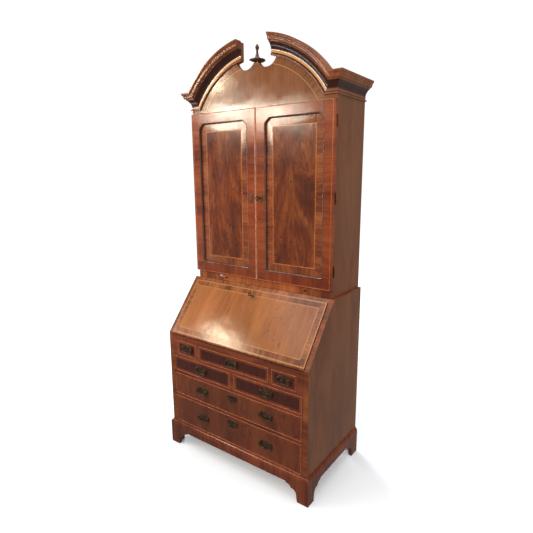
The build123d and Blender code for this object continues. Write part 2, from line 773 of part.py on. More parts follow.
def door_leaf(z):
    """Right door's hinge leaf with the middle knuckle, bored for the pin."""
    half = KNUCKLE_L / 2
    leaf = block(UP_HALF - LEAF_W, HINGE_X, DOOR_BACK, DOOR_BACK + LEAF_T, z - half + 0.3, z + half - 0.3)
    knuckle = rod((HINGE_X, HINGE_Y, z - half + 0.3), (HINGE_X, HINGE_Y, z + half - 0.3), KNUCKLE_R)
    bore = rod((HINGE_X, HINGE_Y, z - LONG), (HINGE_X, HINGE_Y, z + LONG), PIN_R + 0.06)
    return leaf + knuckle - bore


def case_leaf(z):
    """Case-side hinge leaf with the outer knuckles and the pin through them."""
    half = KNUCKLE_L / 2
    tall = 1.5 * KNUCKLE_L
    body = rod((HINGE_X, HINGE_Y, z - tall), (HINGE_X, HINGE_Y, z + tall), PIN_R)
    for a, b in ((z - tall, z - half), (z + half, z + tall)):
        body += rod((HINGE_X, HINGE_Y, a), (HINGE_X, HINGE_Y, b), KNUCKLE_R)
        body += block(UP_HALF - LEAF_W, HINGE_X, UP_FRONT - LEAF_T, UP_FRONT, a, b)
    return body


def fall_pin():
    """Right-hand pivot pin of the fall, fast in the gable."""
    return rod((FALL_HALF - FALL_PIN_IN + 1, *HINGE_LINE), (INNER + 4, *HINGE_LINE), FALL_PIN_R)


def bead_strip():
    """Raised bead down the left door's meeting edge."""
    return block(-7, -MEET_GAP, DOOR_FRONT - 3, DOOR_FRONT, *DOOR_Z)


DRAWERS = {
    "top_left": (-(SLOT_IN - PARTITION_T), -SPLIT_OUT, ROW_TOP, [(-352, 672)], None),
    "top_middle": (-SPLIT_IN, SPLIT_IN, ROW_TOP, [(0, 672)], None),
    "top_right": (SPLIT_OUT, SLOT_IN - PARTITION_T, ROW_TOP, [(352, 672)], None),
    "second_left": (-OPEN_HALF, -MID_HALF, ROW_SECOND, [(-239, 565)], None),
    "second_right": (MID_HALF, OPEN_HALF, ROW_SECOND, [(239, 565)], None),
    "third": (-OPEN_HALF, OPEN_HALF, ROW_THIRD, [(-236, 432), (236, 432)], (0, 448)),
    "bottom": (-OPEN_HALF, OPEN_HALF, ROW_BOTTOM, [(-234, 256), (234, 256)], (0, 290)),
}


def build_all():
    """Write every node of the desk."""
    right = gable()
    save("gable_right", right)
    save("gable_left", mirrored(right))
    save("base_back", base_back())
    save("desk_top", *desk_top())
    save("writing_bed", writing_bed())
    save("base_bottom", base_bottom())
    save("drawer_frame", *drawer_frame())
    save("dustboards", *dustboards())
    save("base_moulding", *base_moulding())
    save("plinth", *plinth())

    for name, (x0, x1, row, spots, lock) in DRAWERS.items():
        save(f"drawer_{name}", *drawer(x0, x1, row))
        save(f"plates_{name}", *handle_plates(spots, lock))
        for x, z in spots:
            tag = "" if len(spots) == 1 else ("_left" if x < 0 else "_right")
            save(f"bail_{name}{tag}", bail(x, z))

    loper = block(SLOT_IN + LOPER_GAP, INNER - LOPER_GAP, 0, LOPER_LEN, LOPER_LOW + 0.4, LOPER_TOP)
    save("loper_right", loper)
    save("loper_left", mirrored(loper))

    save("fall_board", fall_board())
    save("fall_escutcheon", fall_escutcheon())
    fall_lock = Plane(origin=(0, *slope(LOCK_S, FALL_PROUD)), x_dir=(0, UP_Y, UP_Z), z_dir=(0, -UP_Z, UP_Y))
    save("fall_key", key(fall_lock))

    save("pigeonholes", *pigeonholes())
    small = inner_drawer()
    save("inner_drawer_right", *small)
    save("inner_drawer_left", *[mirrored(piece) for piece in small])

    wall = upper_side()
    save("upper_side_right", wall)
    save("upper_side_left", mirrored(wall))
    save("upper_back", upper_back())
    save("upper_boards", *upper_boards())
    save("waist_rail", *waist_rail())
    save("candle_slide_left", candle_slide(SLIDE_X[0]))
    save("candle_slide_right", candle_slide(SLIDE_X[1]))
    save("tympanum", tympanum())
    half = cornice()
    save("cornice_right", *half)
    save("cornice_left", *[mirrored(piece) for piece in half])
    save("finial", finial())

    frame = door_frame()
    save("door_right_frame", *frame)
    twin = [mirrored(piece) for piece in frame]
    twin[0] = twin[0] + bead_strip()
    save("door_left_frame", *twin)
    panel = door_panel()
    save("door_right_panel", panel)
    save("door_left_panel", mirrored(panel))
    leaves = [door_leaf(z) for z in HINGE_Z]
    save("door_right_brass", escutcheon(LOCK_X), *leaves)
    save("door_left_brass", escutcheon(-LOCK_X), *[mirrored(leaf) for leaf in leaves])
    door_lock = Plane(origin=(LOCK_X, DOOR_FRONT, LOCK_Z), x_dir=(0, 0, 1), z_dir=(0, -1, 0))
    save("door_key", key(door_lock))

    fixed = [case_leaf(z) for z in HINGE_Z] + [fall_pin()]
    save("case_brass", *fixed, *[mirrored(piece) for piece in fixed])


os.makedirs("parts", exist_ok=True)
build_all()
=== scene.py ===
"""Finishes, detailed pieces, light and view for the slant-front secretary desk."""

import logging
import math
from dataclasses import dataclass
from enum import Enum
from typing import Callable, Optional, Sequence, Union

import bmesh
import bpy
from mathutils import Matrix, Vector


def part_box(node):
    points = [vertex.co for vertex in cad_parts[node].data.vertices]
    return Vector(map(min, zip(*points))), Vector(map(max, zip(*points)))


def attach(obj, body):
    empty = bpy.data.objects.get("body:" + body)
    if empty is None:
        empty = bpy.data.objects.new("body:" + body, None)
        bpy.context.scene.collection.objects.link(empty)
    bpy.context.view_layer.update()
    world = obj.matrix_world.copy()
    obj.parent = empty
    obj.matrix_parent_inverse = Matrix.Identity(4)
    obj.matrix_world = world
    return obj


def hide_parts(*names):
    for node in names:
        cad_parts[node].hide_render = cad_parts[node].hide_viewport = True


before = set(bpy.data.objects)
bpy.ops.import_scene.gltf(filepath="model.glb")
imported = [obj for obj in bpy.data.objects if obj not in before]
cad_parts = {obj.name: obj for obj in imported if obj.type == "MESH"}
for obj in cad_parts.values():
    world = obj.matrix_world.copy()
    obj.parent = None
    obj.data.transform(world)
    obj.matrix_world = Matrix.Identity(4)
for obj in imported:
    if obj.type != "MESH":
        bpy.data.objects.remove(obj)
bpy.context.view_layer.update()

LOG = logging.getLogger("secretary_desk")
Colour = tuple[float, float, float, float]
Point = tuple[float, float, float]
Handle = tuple[float, float, str]

ARCH_Z = 1.832
ARCH_IN = 0.478
HEAD_Z = 2.074
MITRE_LEAN = 0.538
MITRE_FOOT = HEAD_Z * MITRE_LEAN - 0.4122
SLOPE_ANGLE = math.atan2(0.2515, 0.307)
UP_SLOPE = Vector((0.0, math.sin(SLOPE_ANGLE), math.cos(SLOPE_ANGLE)))
OUT_SLOPE = Vector((0.0, -math.cos(SLOPE_ANGLE), math.sin(SLOPE_ANGLE)))
SLOPE_Z = 0.749
PALE = (1.0, 0.985, 0.96)
WARM = (1.0, 0.94, 0.84)
CREAM = (1.0, 0.90, 0.72)
GOLD = (1.0, 0.86, 0.62)
COOL = (0.84, 0.90, 1.0)
SMALL = 1e-5


# ------------------------------------------------------------------ shader kit
class Tap:
    """A shader socket that takes part in sums."""

    def __init__(self, shade: "Shade", socket: bpy.types.NodeSocket) -> None:
        """Keep the socket and the material it belongs to."""
        self.shade = shade
        self.socket = socket

    def _sum(self, operation: str, first: "Value", second: "Value") -> "Tap":
        """Add one Math node."""
        return self.shade.node("ShaderNodeMath", {"operation": operation}, {0: first, 1: second})

    def __add__(self, other: "Value") -> "Tap":
        """Sum."""
        return self._sum("ADD", self, other)

    __radd__ = __add__

    def __sub__(self, other: "Value") -> "Tap":
        """Difference."""
        return self._sum("SUBTRACT", self, other)

    def __rsub__(self, other: "Value") -> "Tap":
        """Reflected difference."""
        return self._sum("SUBTRACT", other, self)

    def __mul__(self, other: "Value") -> "Tap":
        """Product."""
        return self._sum("MULTIPLY", self, other)

    __rmul__ = __mul__

    def __pow__(self, other: "Value") -> "Tap":
        """Power."""
        return self._sum("POWER", self, other)

    def __abs__(self) -> "Tap":
        """Size without sign."""
        return self._sum("ABSOLUTE", self, 0.0)

    def sine(self) -> "Tap":
        """Sine, brought to 0 to 1."""
        return self._sum("SINE", self, 0.0) * 0.5 + 0.5

    def floor(self) -> "Tap":
        """Whole part."""
        return self._sum("FLOOR", self, 0.0)

    def step(self, low: float, high: float) -> "Tap":
        """Smooth rise from 0 at low to 1 at high.

        Args:
            low: Value that gives 0.
            high: Value that gives 1.

        Returns:
            The clamped result.
        """
        return self.shade.node("ShaderNodeMapRange", {"interpolation_type": "SMOOTHSTEP"},
                               {0: self, 1: low, 2: high})


Value = Union[Tap, float, Sequence[float]]


class Shade:
    """One procedural material under construction."""

    def __init__(self, name: str) -> None:
        """Start a material with an empty principled surface."""
        self.material = bpy.data.materials.new(name)
        self.material.use_nodes = True
        self.tree = self.material.node_tree
        self.tree.nodes.clear()
        output = self.tree.nodes.new("ShaderNodeOutputMaterial")
        self.surface = self.tree.nodes.new("ShaderNodeBsdfPrincipled")
        self.tree.links.new(self.surface.outputs[0], output.inputs[0])

    def plug(self, socket: bpy.types.NodeSocket, value: Value) -> None:
        """Link a tap to a socket, or write a plain value on it."""
        if isinstance(value, Tap):
            self.tree.links.new(value.socket, socket)
        else:
            socket.default_value = value

    def node(self, kind: str, settings: Optional[dict] = None, inputs: Optional[dict] = None,
             output: Union[int, str] = 0) -> Tap:
        """Add any node.

        Args:
            kind: The node's type.
            settings: Its properties, set first; "stops" fills a colour ramp.
            inputs: Values or taps by socket name or number.
            output: The socket to return.

        Returns:
            A tap on that output.
        """
        item = self.tree.nodes.new(kind)
        for key, value in (settings or {}).items():
            if key == "stops":
                ramp = item.color_ramp
                while len(ramp.elements) < len(value):
                    ramp.elements.new(0.5)
                for element, (position, colour) in zip(ramp.elements, value):
                    element.position = position
                    element.color = colour
            else:
                setattr(item, key, value)
        for key, value in (inputs or {}).items():
            self.plug(item.inputs[key], value)
        return Tap(self, item.outputs[output])

    def place(self) -> Tap:
        """Object coordinates."""
        return self.node("ShaderNodeTexCoord", output="Object")

    def split(self, vector: Tap) -> tuple[Tap, Tap, Tap]:
        """Separate a vector into its three parts."""
        item = self.node("ShaderNodeSeparateXYZ", None, {0: vector})
        outputs = item.socket.node.outputs
        return tuple(Tap(self, outputs[i]) for i in range(3))

    def noise(self, vector: Tap, scale: Point, detail: float = 3.0, distortion: float = 0.0,
              roughness: float = 0.55) -> Tap:
        """Noise stretched by a scale of its own on each axis.

        Args:
            vector: Coordinates.
            scale: Repeats per metre on each axis.
            detail: Octaves.
            distortion: How far the pattern is swirled.
            roughness: Weight of the fine octaves.

        Returns:
            The noise value, about 0.3 to 0.7.
        """
        stretched = self.node("ShaderNodeVectorMath", {"operation": "MULTIPLY"},
                              {0: vector, 1: scale})
        return self.node("ShaderNodeTexNoise", None,
                         {"Vector": stretched, "Scale": 1.0, "Detail": detail,
                          "Roughness": roughness, "Distortion": distortion})

    def mix(self, factor: Value, first: Value, second: Value, blend: str = "MIX") -> Tap:
        """Blend two colours."""
        return self.node("ShaderNodeMix", {"data_type": "RGBA", "blend_type": blend},
                         {0: factor, 6: first, 7: second}, 2)

    def bump(self, height: Tap, distance: float, strength: float,
             normal: Optional[Tap] = None) -> Tap:
        """Add a bump, on top of another one if given."""
        inputs = {"Height": height, "Distance": distance, "Strength": strength}
        if normal is not None:
            inputs["Normal"] = normal
        return self.node("ShaderNodeBump", None, inputs)

    def done(self, **sockets: Value) -> bpy.types.Material:
        """Fill the surface's sockets by name and return the material.

        Args:
            **sockets: Values or taps, with underscores for the spaces in a name.

        Returns:
            The finished material.
        """
        for key, value in sockets.items():
            self.plug(self.surface.inputs[key.replace("_", " ")], value)
        return self.material


# ------------------------------------------------------------------ finishes
class Grain(Enum):
    """How a finish is turned: first axis along the fibres, second along the run of a band."""

    ACROSS = (-math.pi / 2, 0.0, 0.0)
    ACROSS_SLOPE = (SLOPE_ANGLE - math.pi / 2, 0.0, 0.0)
    DEEP = (0.0, 0.0, -math.pi / 2)
    UPRIGHT = (math.pi / 2, 0.0, math.pi / 2)
    SLOPE = (math.pi / 2 + SLOPE_ANGLE, 0.0, math.pi / 2)
    ROUND_PLAN = "plan"
    ROUND_ARCH = "arch"


def rgb(red: float, green: float, blue: float) -> Colour:
    """Opaque linear colour."""
    return (red, green, blue, 1.0)


def wood(red: float, green: float, blue: float, contrast: float = 1.0) -> dict[str, Colour]:
    """Deep, body and pale tones about one linear body colour.

    Args:
        red: Red of the body.
        green: Green of the body.
        blue: Blue of the body.
        contrast: 1 for the usual spread of tones.

    Returns:
        The three tones, by field name.
    """
    down = (0.42 ** contrast, 0.36 ** contrast, 0.40 ** contrast)
    up = (1.65 ** contrast, 1.95 ** contrast, 2.0 ** contrast)
    body = (red, green, blue)
    return {"deep": rgb(*(a * b for a, b in zip(body, down))), "body": rgb(*body),
            "pale": rgb(*(min(a * b, 0.9) for a, b in zip(body, up)))}


def arch_reach(shade: Shade) -> tuple[Tap, Tap, Tap, Tap]:
    """Polar place on the arch.

    Args:
        shade: The material being built.

    Returns:
        Distance from the arch's centre, turn about it, and the place's X and Z.
    """
    x, _, z = shade.split(shade.place())
    up = z - ARCH_Z
    reach = (x * x + up * up) ** 0.5
    turn = shade.node("ShaderNodeMath", {"operation": "ARCTAN2"}, {0: x, 1: up})
    return reach, turn, x, z


@dataclass(frozen=True)
class Walnut:
    """Polished walnut, from straight-grained boards and bands to burr veneer."""

    name: str
    slot: str
    deep: Colour
    body: Colour
    pale: Colour
    grain: Grain = Grain.UPRIGHT
    burr: float = 0.0
    rings: float = 0.35
    gloss: float = 0.17
    ripple: float = 0.06
    tile: float = 0.0
    patch: float = 0.16
    shine: float = 0.45

    def along(self, shade: Shade) -> Tap:
        """Coordinates whose first axis follows the fibres.

        Args:
            shade: The material being built.

        Returns:
            The turned coordinates.
        """
        place = shade.place()
        if self.grain is Grain.ROUND_PLAN:
            x, y, z = shade.split(place)
            return shade.node("ShaderNodeCombineXYZ", None, {0: z, 1: x + y, 2: (x - y) * 0.2})
        if self.grain is Grain.ROUND_ARCH:
            reach, turn, x, z = arch_reach(shade)
            _, y, _ = shade.split(place)
            level = self.past_mitre(x, z)
            run = turn * ARCH_IN * (1.0 - level) + (x + y) * level
            rise = reach * (1.0 - level) + z * level
            return shade.node("ShaderNodeCombineXYZ", None, {0: rise, 1: run, 2: y * 0.2})
        return shade.node("ShaderNodeMapping", None, {"Vector": place, "Rotation": self.grain.value})

    @staticmethod
    def past_mitre(x: Tap, z: Tap) -> Tap:
        """1 outside the mitre between the arch and the level cornice, else 0."""
        return (abs(x) - z * MITRE_LEAN + MITRE_FOOT).step(-0.0002, 0.0002)

    def tone(self, shade: Shade, place: Tap) -> Tap:
        """Position between the deep and the pale colour, 0 to 1.

        Args:
            shade: The material being built.
            place: Coordinates along the grain.

        Returns:
            The tone.
        """
        broad = shade.noise(place, (1.8, 8.0, 8.0), 3.0, 0.7)
        fibre = shade.noise(place, (9.0, 230.0, 230.0), 4.0)
        _, across, third = shade.split(place)
        rings = ((across + third * 0.6) * 140.0 + broad * 40.0).sine()
        straight = broad * 0.95 + (rings - 0.5) * (self.rings * 0.35) + (fibre - 0.5) * 0.55
        if self.burr <= 0.0:
            return straight
        cloud = shade.noise(place, (2.6, 7.5, 7.5), 3.0, 1.4)
        curl = shade.noise(place, (9.0, 24.0, 24.0), 6.0, 2.2, 0.62)
        eyes = shade.noise(place, (34.0, 44.0, 44.0), 2.0, 0.8).step(0.60, 0.70)
        here = shade.noise(place, (4.0, 9.0, 9.0), 2.0).step(0.50, 0.60)
        figured = cloud * 0.95 + curl * 0.55 - eyes * here * 0.45 - 0.25
        return straight * (1.0 - self.burr) + figured * self.burr

    def colour(self, shade: Shade, place: Tap, tone: Tap) -> Tap:
        """Colour of the wood, with pores, slow changes of warmth and the pieces of a band.

        Args:
            shade: The material being built.
            place: Coordinates along the grain.
            tone: Position between deep and pale.

        Returns:
            The colour.
        """
        if self.tile > 0.0:
            _, run, _ = shade.split(place)
            cell = (run * (1.0 / self.tile)).floor()
            spot = shade.node("ShaderNodeCombineXYZ", None, {0: cell, 1: 0.37, 2: 1.9})
            pick = shade.node("ShaderNodeTexWhiteNoise", {"noise_dimensions": "3D"},
                              {"Vector": spot})
            tone = tone + (pick - 0.5) * self.patch
        colour = shade.node("ShaderNodeValToRGB",
                            {"stops": [(0.28, self.deep), (0.50, self.body), (0.74, self.pale)]},
                            {0: tone})
        pores = shade.noise(place, (34.0, 1100.0, 1100.0), 2.0).step(0.60, 0.72)
        colour = shade.mix(pores * 0.45, colour, self.deep)
        warmth = shade.noise(shade.place(), (2.3, 2.3, 2.3), 2.0)
        return shade.mix(warmth.step(0.35, 0.70) * 0.5, colour, rgb(1.18, 0.94, 0.78), "MULTIPLY")

    def paint(self, shade: Shade) -> Tap:
        """Colour with everything on it.

        Args:
            shade: The material being built.

        Returns:
            The colour.
        """
        place = self.along(shade)
        return self.colour(shade, place, self.tone(shade, place))

    def build(self) -> bpy.types.Material:
        """Make the material.

        Returns:
            The finished material.
        """
        shade = Shade(self.name)
        colour = self.paint(shade)
        fibre = shade.noise(self.along(shade), (10.0, 420.0, 420.0), 3.0)
        wear = shade.noise(shade.place(), (5.0, 5.0, 7.0), 3.0, 0.5)
        slow = shade.noise(shade.place(), (5.5, 5.5, 5.5), 2.0, 0.3)
        fine = shade.noise(shade.place(), (30.0, 30.0, 30.0), 2.0, 0.3)
        swell = shade.bump(slow, 0.02, self.ripple)
        swell = shade.bump(fine, 0.0012, self.ripple, swell)
        normal = shade.bump(fibre, 0.0006, 0.22, swell)
        rough = wear * 0.16 + fibre * 0.08 + (self.gloss - 0.12)
        return shade.done(Base_Color=colour, Roughness=rough, Normal=normal,
                          Specular_IOR_Level=self.shine)


@dataclass(frozen=True)
class ArchVeneer(Walnut):
    """Veneer of the pediment board: upright leaves inside a band that follows the arch."""

    band: float = 0.036
    line: float = 0.004
    leaf: float = 0.165
    light: Colour = rgb(0.62, 0.30, 0.10)

    def colour(self, shade: Shade, place: Tap, tone: Tap) -> Tap:
        """Colour with the leaves' seams, the band and the light line inside it."""
        colour = super().colour(shade, place, tone)
        reach, turn, x, z = arch_reach(shade)
        leaves = ((x * (1.0 / self.leaf) + 0.5).floor() * 2.4).sine()
        colour = shade.mix(leaves * 0.35, colour, rgb(0.72, 0.64, 0.60), "MULTIPLY")
        inner = ARCH_IN - self.band
        band = reach.step(inner, inner + 0.001)
        cross = shade.node("ShaderNodeCombineXYZ", None, {0: reach, 1: turn * ARCH_IN, 2: 0.0})
        fibres = shade.noise(cross, (10.0, 260.0, 1.0), 3.0)
        banding = shade.mix(fibres.step(0.35, 0.65), self.deep, self.pale)
        colour = shade.mix(band * 0.7, colour, banding)
        stroke = reach.step(inner - self.line, inner - self.line + 0.0008) * (1.0 - band)
        return shade.mix(stroke * 0.5, colour, self.light)


@dataclass(frozen=True)
class CorniceWalnut(Walnut):
    """Cross-grained cornice."""

    # Colour of the painted highlight band on the arch.
    light: Colour = rgb(0.62, 0.30, 0.10)

    def colour(self, shade: Shade, place: Tap, tone: Tap) -> Tap:
        """Colour with painted light and shade by height on the moulding: a painted highlight band over the
        quirk's painted shade on the arch, and painted shade in the cove.
        """
        colour = super().colour(shade, place, tone)
        reach, _, x, z = arch_reach(shade)
        level = self.past_mitre(x, z)
        height = (reach - ARCH_IN) * (1.0 - level) + (z - HEAD_Z) * level
        # Painted shade: a near-black line in the narrow quirk, where shadow falls.
        quirk_painted_shade = height.step(0.0078, 0.0084) * (1.0 - height.step(0.0138, 0.0146))
        # Painted shade: the cove is darkened, standing in for the shade that falls in its hollow.
        cove_painted_shade = height.step(0.020, 0.030) * (1.0 - height.step(0.056, 0.064))
        # Painted highlight: a golden band low on the arch's cove, standing in for the light it reflects.
        arch_painted_highlight = height.step(0.0140, 0.0150) * (1.0 - height.step(0.023, 0.029)) * (1.0 - level)
        colour = shade.mix(cove_painted_shade, colour, rgb(0.15, 0.09, 0.08), "MULTIPLY")
        colour = shade.mix(arch_painted_highlight, colour, self.light)
        return shade.mix(quirk_painted_shade * 0.85, colour, rgb(0.012, 0.006, 0.004))


@dataclass(frozen=True)
class GableWalnut(Walnut):
    """Flank veneer on the outside of a gable, cross-grained band on its narrow edges."""

    edge: Optional[Walnut] = None
    limit: float = 0.4994

    def paint(self, shade: Shade) -> Tap:
        """Flank colour outside, band colour on the edges."""
        x, _, _ = shade.split(shade.place())
        outside = abs(x).step(self.limit, self.limit + 0.0003)
        return shade.mix(outside, self.edge.paint(shade), super().paint(shade))


@dataclass(frozen=True)
class Oak(Walnut):
    """Unpolished wood of drawer linings and backs, in planks."""

    plank: float = 0.0

    def colour(self, shade: Shade, place: Tap, tone: Tap) -> Tap:
        """Wood colour with the dark seams between planks."""
        colour = super().colour(shade, place, tone)
        if self.plank <= 0.0:
            return colour
        x, _, _ = shade.split(shade.place())
        cell = x * (1.0 / self.plank)
        within = abs(cell - cell.floor() - 0.5)
        age = (cell.floor() * 1.7).sine() * 0.5
        colour = shade.mix(age, colour, rgb(0.7, 0.66, 0.62), "MULTIPLY")
        return shade.mix(within.step(0.488, 0.496), colour, rgb(0.02, 0.012, 0.008))


@dataclass(frozen=True)
class Brass:
    """Old brass gone brown, brighter where hands rub it."""

    name: str
    slot: str = "old_brass"
    dull: Colour = rgb(0.060, 0.036, 0.022)
    worn: Colour = rgb(0.165, 0.100, 0.056)
    rough: float = 0.46

    def build(self) -> bpy.types.Material:
        """Make the material."""
        shade = Shade(self.name)
        place = shade.place()
        cloud = shade.noise(place, (60.0, 60.0, 60.0), 4.0, 0.4)
        speck = shade.noise(place, (420.0, 420.0, 420.0), 2.0)
        rub = shade.noise(place, (24.0, 24.0, 24.0), 2.0)
        colour = shade.mix(cloud.step(0.38, 0.66), self.dull, self.worn)
        colour = shade.mix(speck.step(0.58, 0.72) * 0.6, colour, self.dull)
        normal = shade.bump(speck, 0.0004, 0.35)
        return shade.done(Base_Color=colour, Metallic=0.9, Normal=normal,
                          Roughness=cloud * 0.25 + rub * 0.15 + (self.rough - 0.18))


@dataclass(frozen=True)
class Line:
    """Thin light or dark stringing or bead."""

    name: str
    slot: str
    tint: Colour
    rough: float = 0.25
    coat: float = 0.3

    def build(self) -> bpy.types.Material:
        """Make the material."""
        shade = Shade(self.name)
        streak = shade.noise(shade.place(), (160.0, 160.0, 160.0), 3.0)
        long = shade.noise(shade.place(), (9.0, 9.0, 9.0), 2.0)
        dark = tuple(part * 0.5 for part in self.tint[:3]) + (1.0,)
        colour = shade.mix(streak.step(0.30, 0.65), dark, self.tint)
        colour = shade.mix(long.step(0.40, 0.68) * 0.4, colour, rgb(0.6, 0.52, 0.5), "MULTIPLY")
        return shade.done(Base_Color=colour, Roughness=streak * 0.2 + (self.rough - 0.1),
                          Normal=shade.bump(streak, 0.0003, 0.3), Coat_Weight=self.coat,
                          Coat_Roughness=0.15)


class Palette:
    """Every finish of the desk, built once."""

    def __init__(self) -> None:
        """Build the finishes."""
        frame_tone = wood(0.235, 0.050, 0.014, 0.8)
        margin = wood(0.22, 0.058, 0.018, 0.8)
        band = wood(0.165, 0.036, 0.012, 0.8)
        fall_band = wood(0.25, 0.084, 0.026, 0.8)
        oak = wood(0.30, 0.18, 0.085, 0.6)
        rail = wood(0.165, 0.036, 0.013, 0.8)
        side = dict(gloss=0.30, shine=0.34, ripple=0.08, rings=0.12)
        edge = Walnut("gable_edge", "walnut_side", **wood(0.19, 0.048, 0.014, 0.8), grain=Grain.ACROSS,
                      tile=0.095)
        self.finishes = {
            "stile": Walnut("stile_walnut", "walnut_veneer", **frame_tone, grain=Grain.ACROSS, tile=0.085,
                            rings=0.15),
            "door_rail": Walnut("door_rail_walnut", "walnut_veneer",
                                **wood(0.195, 0.039, 0.011, 0.8), tile=0.085, rings=0.15),
            "rail": Walnut("rail_walnut", "walnut_veneer", **rail, grain=Grain.ACROSS, gloss=0.22,
                           tile=0.12),
            "waist": Walnut("waist_walnut", "walnut_veneer", **wood(0.33, 0.085, 0.021), tile=0.14, patch=0.3,
                            rings=0.15),
            "burr": Walnut("drawer_veneer", "walnut_veneer", **wood(0.138, 0.033, 0.011, 0.7), burr=0.55),
            "dark_burr": Walnut("dark_drawer_veneer", "walnut_veneer", **wood(0.056, 0.009, 0.004, 0.7),
                                burr=0.55),
            "door_burr": Walnut("door_burr", "walnut_burr", deep=rgb(0.050, 0.013, 0.006),
                                body=rgb(0.142, 0.031, 0.010), pale=rgb(0.30, 0.092, 0.026), burr=0.8),
            "margin": Walnut("margin_walnut", "walnut_burr", **margin, grain=Grain.ACROSS, tile=0.075),
            "margin_up": Walnut("margin_walnut_upright", "walnut_burr", **margin, tile=0.075),
            "band": Walnut("band_walnut", "walnut_veneer", **band, grain=Grain.ACROSS, rings=0.1),
            "band_up": Walnut("band_walnut_upright", "walnut_veneer", **band, rings=0.1),
            "fall": Walnut("fall_walnut", "walnut_fall", **wood(0.315, 0.115, 0.036, 0.6), grain=Grain.SLOPE,
                           burr=0.35, rings=0.1, gloss=0.14, ripple=0.10),
            "fall_band": Walnut("fall_band", "walnut_fall", **fall_band, grain=Grain.ACROSS_SLOPE,
                                tile=0.09),
            "fall_band_up": Walnut("fall_band_sloped", "walnut_fall", **fall_band,
                                   grain=Grain.SLOPE, tile=0.09),
            "gable": GableWalnut("gable_walnut", "walnut_side", **wood(0.178, 0.066, 0.027, 0.4), edge=edge,
                                 **side),
            "flank": Walnut("flank_walnut", "walnut_side", **wood(0.178, 0.066, 0.027, 0.4), **side),
            "cap": Walnut("cap_walnut", "walnut_side", **wood(0.24, 0.080, 0.026, 0.8), tile=0.11),
            "moulding": Walnut("moulding_walnut", "walnut_moulding", **wood(0.165, 0.036, 0.010, 0.8),
                               grain=Grain.ROUND_PLAN, tile=0.08),
            "finial": Walnut("finial_walnut", "walnut_moulding", **wood(0.07, 0.022, 0.012), gloss=0.22),
            # The cornice carries painted shade in its quirk and cove, and a painted highlight band on the
            # arch.
            "cornice": CorniceWalnut("cornice_walnut", "walnut_moulding", **wood(0.25, 0.080, 0.030, 0.5),
                                     grain=Grain.ROUND_ARCH, gloss=0.155, ripple=0.01, tile=0.07),
            "arch": ArchVeneer("arch_veneer", "walnut_veneer", **wood(0.21, 0.073, 0.025, 0.7), burr=0.2,
                               gloss=0.14, rings=0.15),
            "plinth": Walnut("plinth_walnut", "walnut_veneer", **wood(0.130, 0.028, 0.009, 0.8),
                             grain=Grain.ROUND_PLAN, gloss=0.26, tile=0.10, patch=0.22),
            "oak": Oak("lining_oak", "oak", **oak, grain=Grain.DEEP, gloss=0.62, shine=0.2, ripple=0.1),
            "back": Oak("back_planks", "oak", **oak, gloss=0.70, shine=0.2, ripple=0.1, plank=0.157),
            "inside": Walnut("inside_walnut", "oak", **frame_tone, grain=Grain.ACROSS, gloss=0.45),
            "line": Line("light_stringing", "walnut_fall", rgb(0.54, 0.215, 0.055)),
            "panel_line": Line("panel_stringing", "walnut_burr", rgb(0.58, 0.18, 0.040)),
            "bead": Line("cock_bead", "walnut_veneer", rgb(0.58, 0.135, 0.030)),
            "sticking": Line("sticking_walnut", "walnut_veneer", rgb(0.12, 0.040, 0.020), 0.18, 1.0),
            # Painted highlight: the meeting bead is coloured pale, standing in for the light along its round.
            "pale_bead": Line("meeting_bead", "walnut_veneer", rgb(0.70, 0.34, 0.24)),
            # Near-black for the fall's end faces: darker end grain, deepened with painted shade of the gap
            # beside the gable.
            "shade_edge": Line("dark_end_grain_and_painted_shade", "walnut_fall", rgb(0.045, 0.016, 0.008), 0.5),
            "brass": Brass("aged_brass"),
            "hinge": Brass("browned_hinge", dull=rgb(0.14, 0.045, 0.018), worn=rgb(0.22, 0.080, 0.032)),
            # Painted shade: near-black for the keyholes, standing in for the shade inside them.
            "dark": Brass("keyhole_painted_shade", dull=rgb(0.004, 0.003, 0.002), worn=rgb(0.010, 0.008, 0.006)),
            "knob": Brass("dark_knob", dull=rgb(0.02, 0.012, 0.008),
                          worn=rgb(0.05, 0.030, 0.016), rough=0.62),
        }
        self.materials = {key: finish.build() for key, finish in self.finishes.items()}

    def __getitem__(self, key: str) -> bpy.types.Material:
        """Material of a finish by its short name."""
        return self.materials[key]

    def slot(self, key: str) -> str:
        """Record slot of a finish."""
        return self.finishes[key].slot


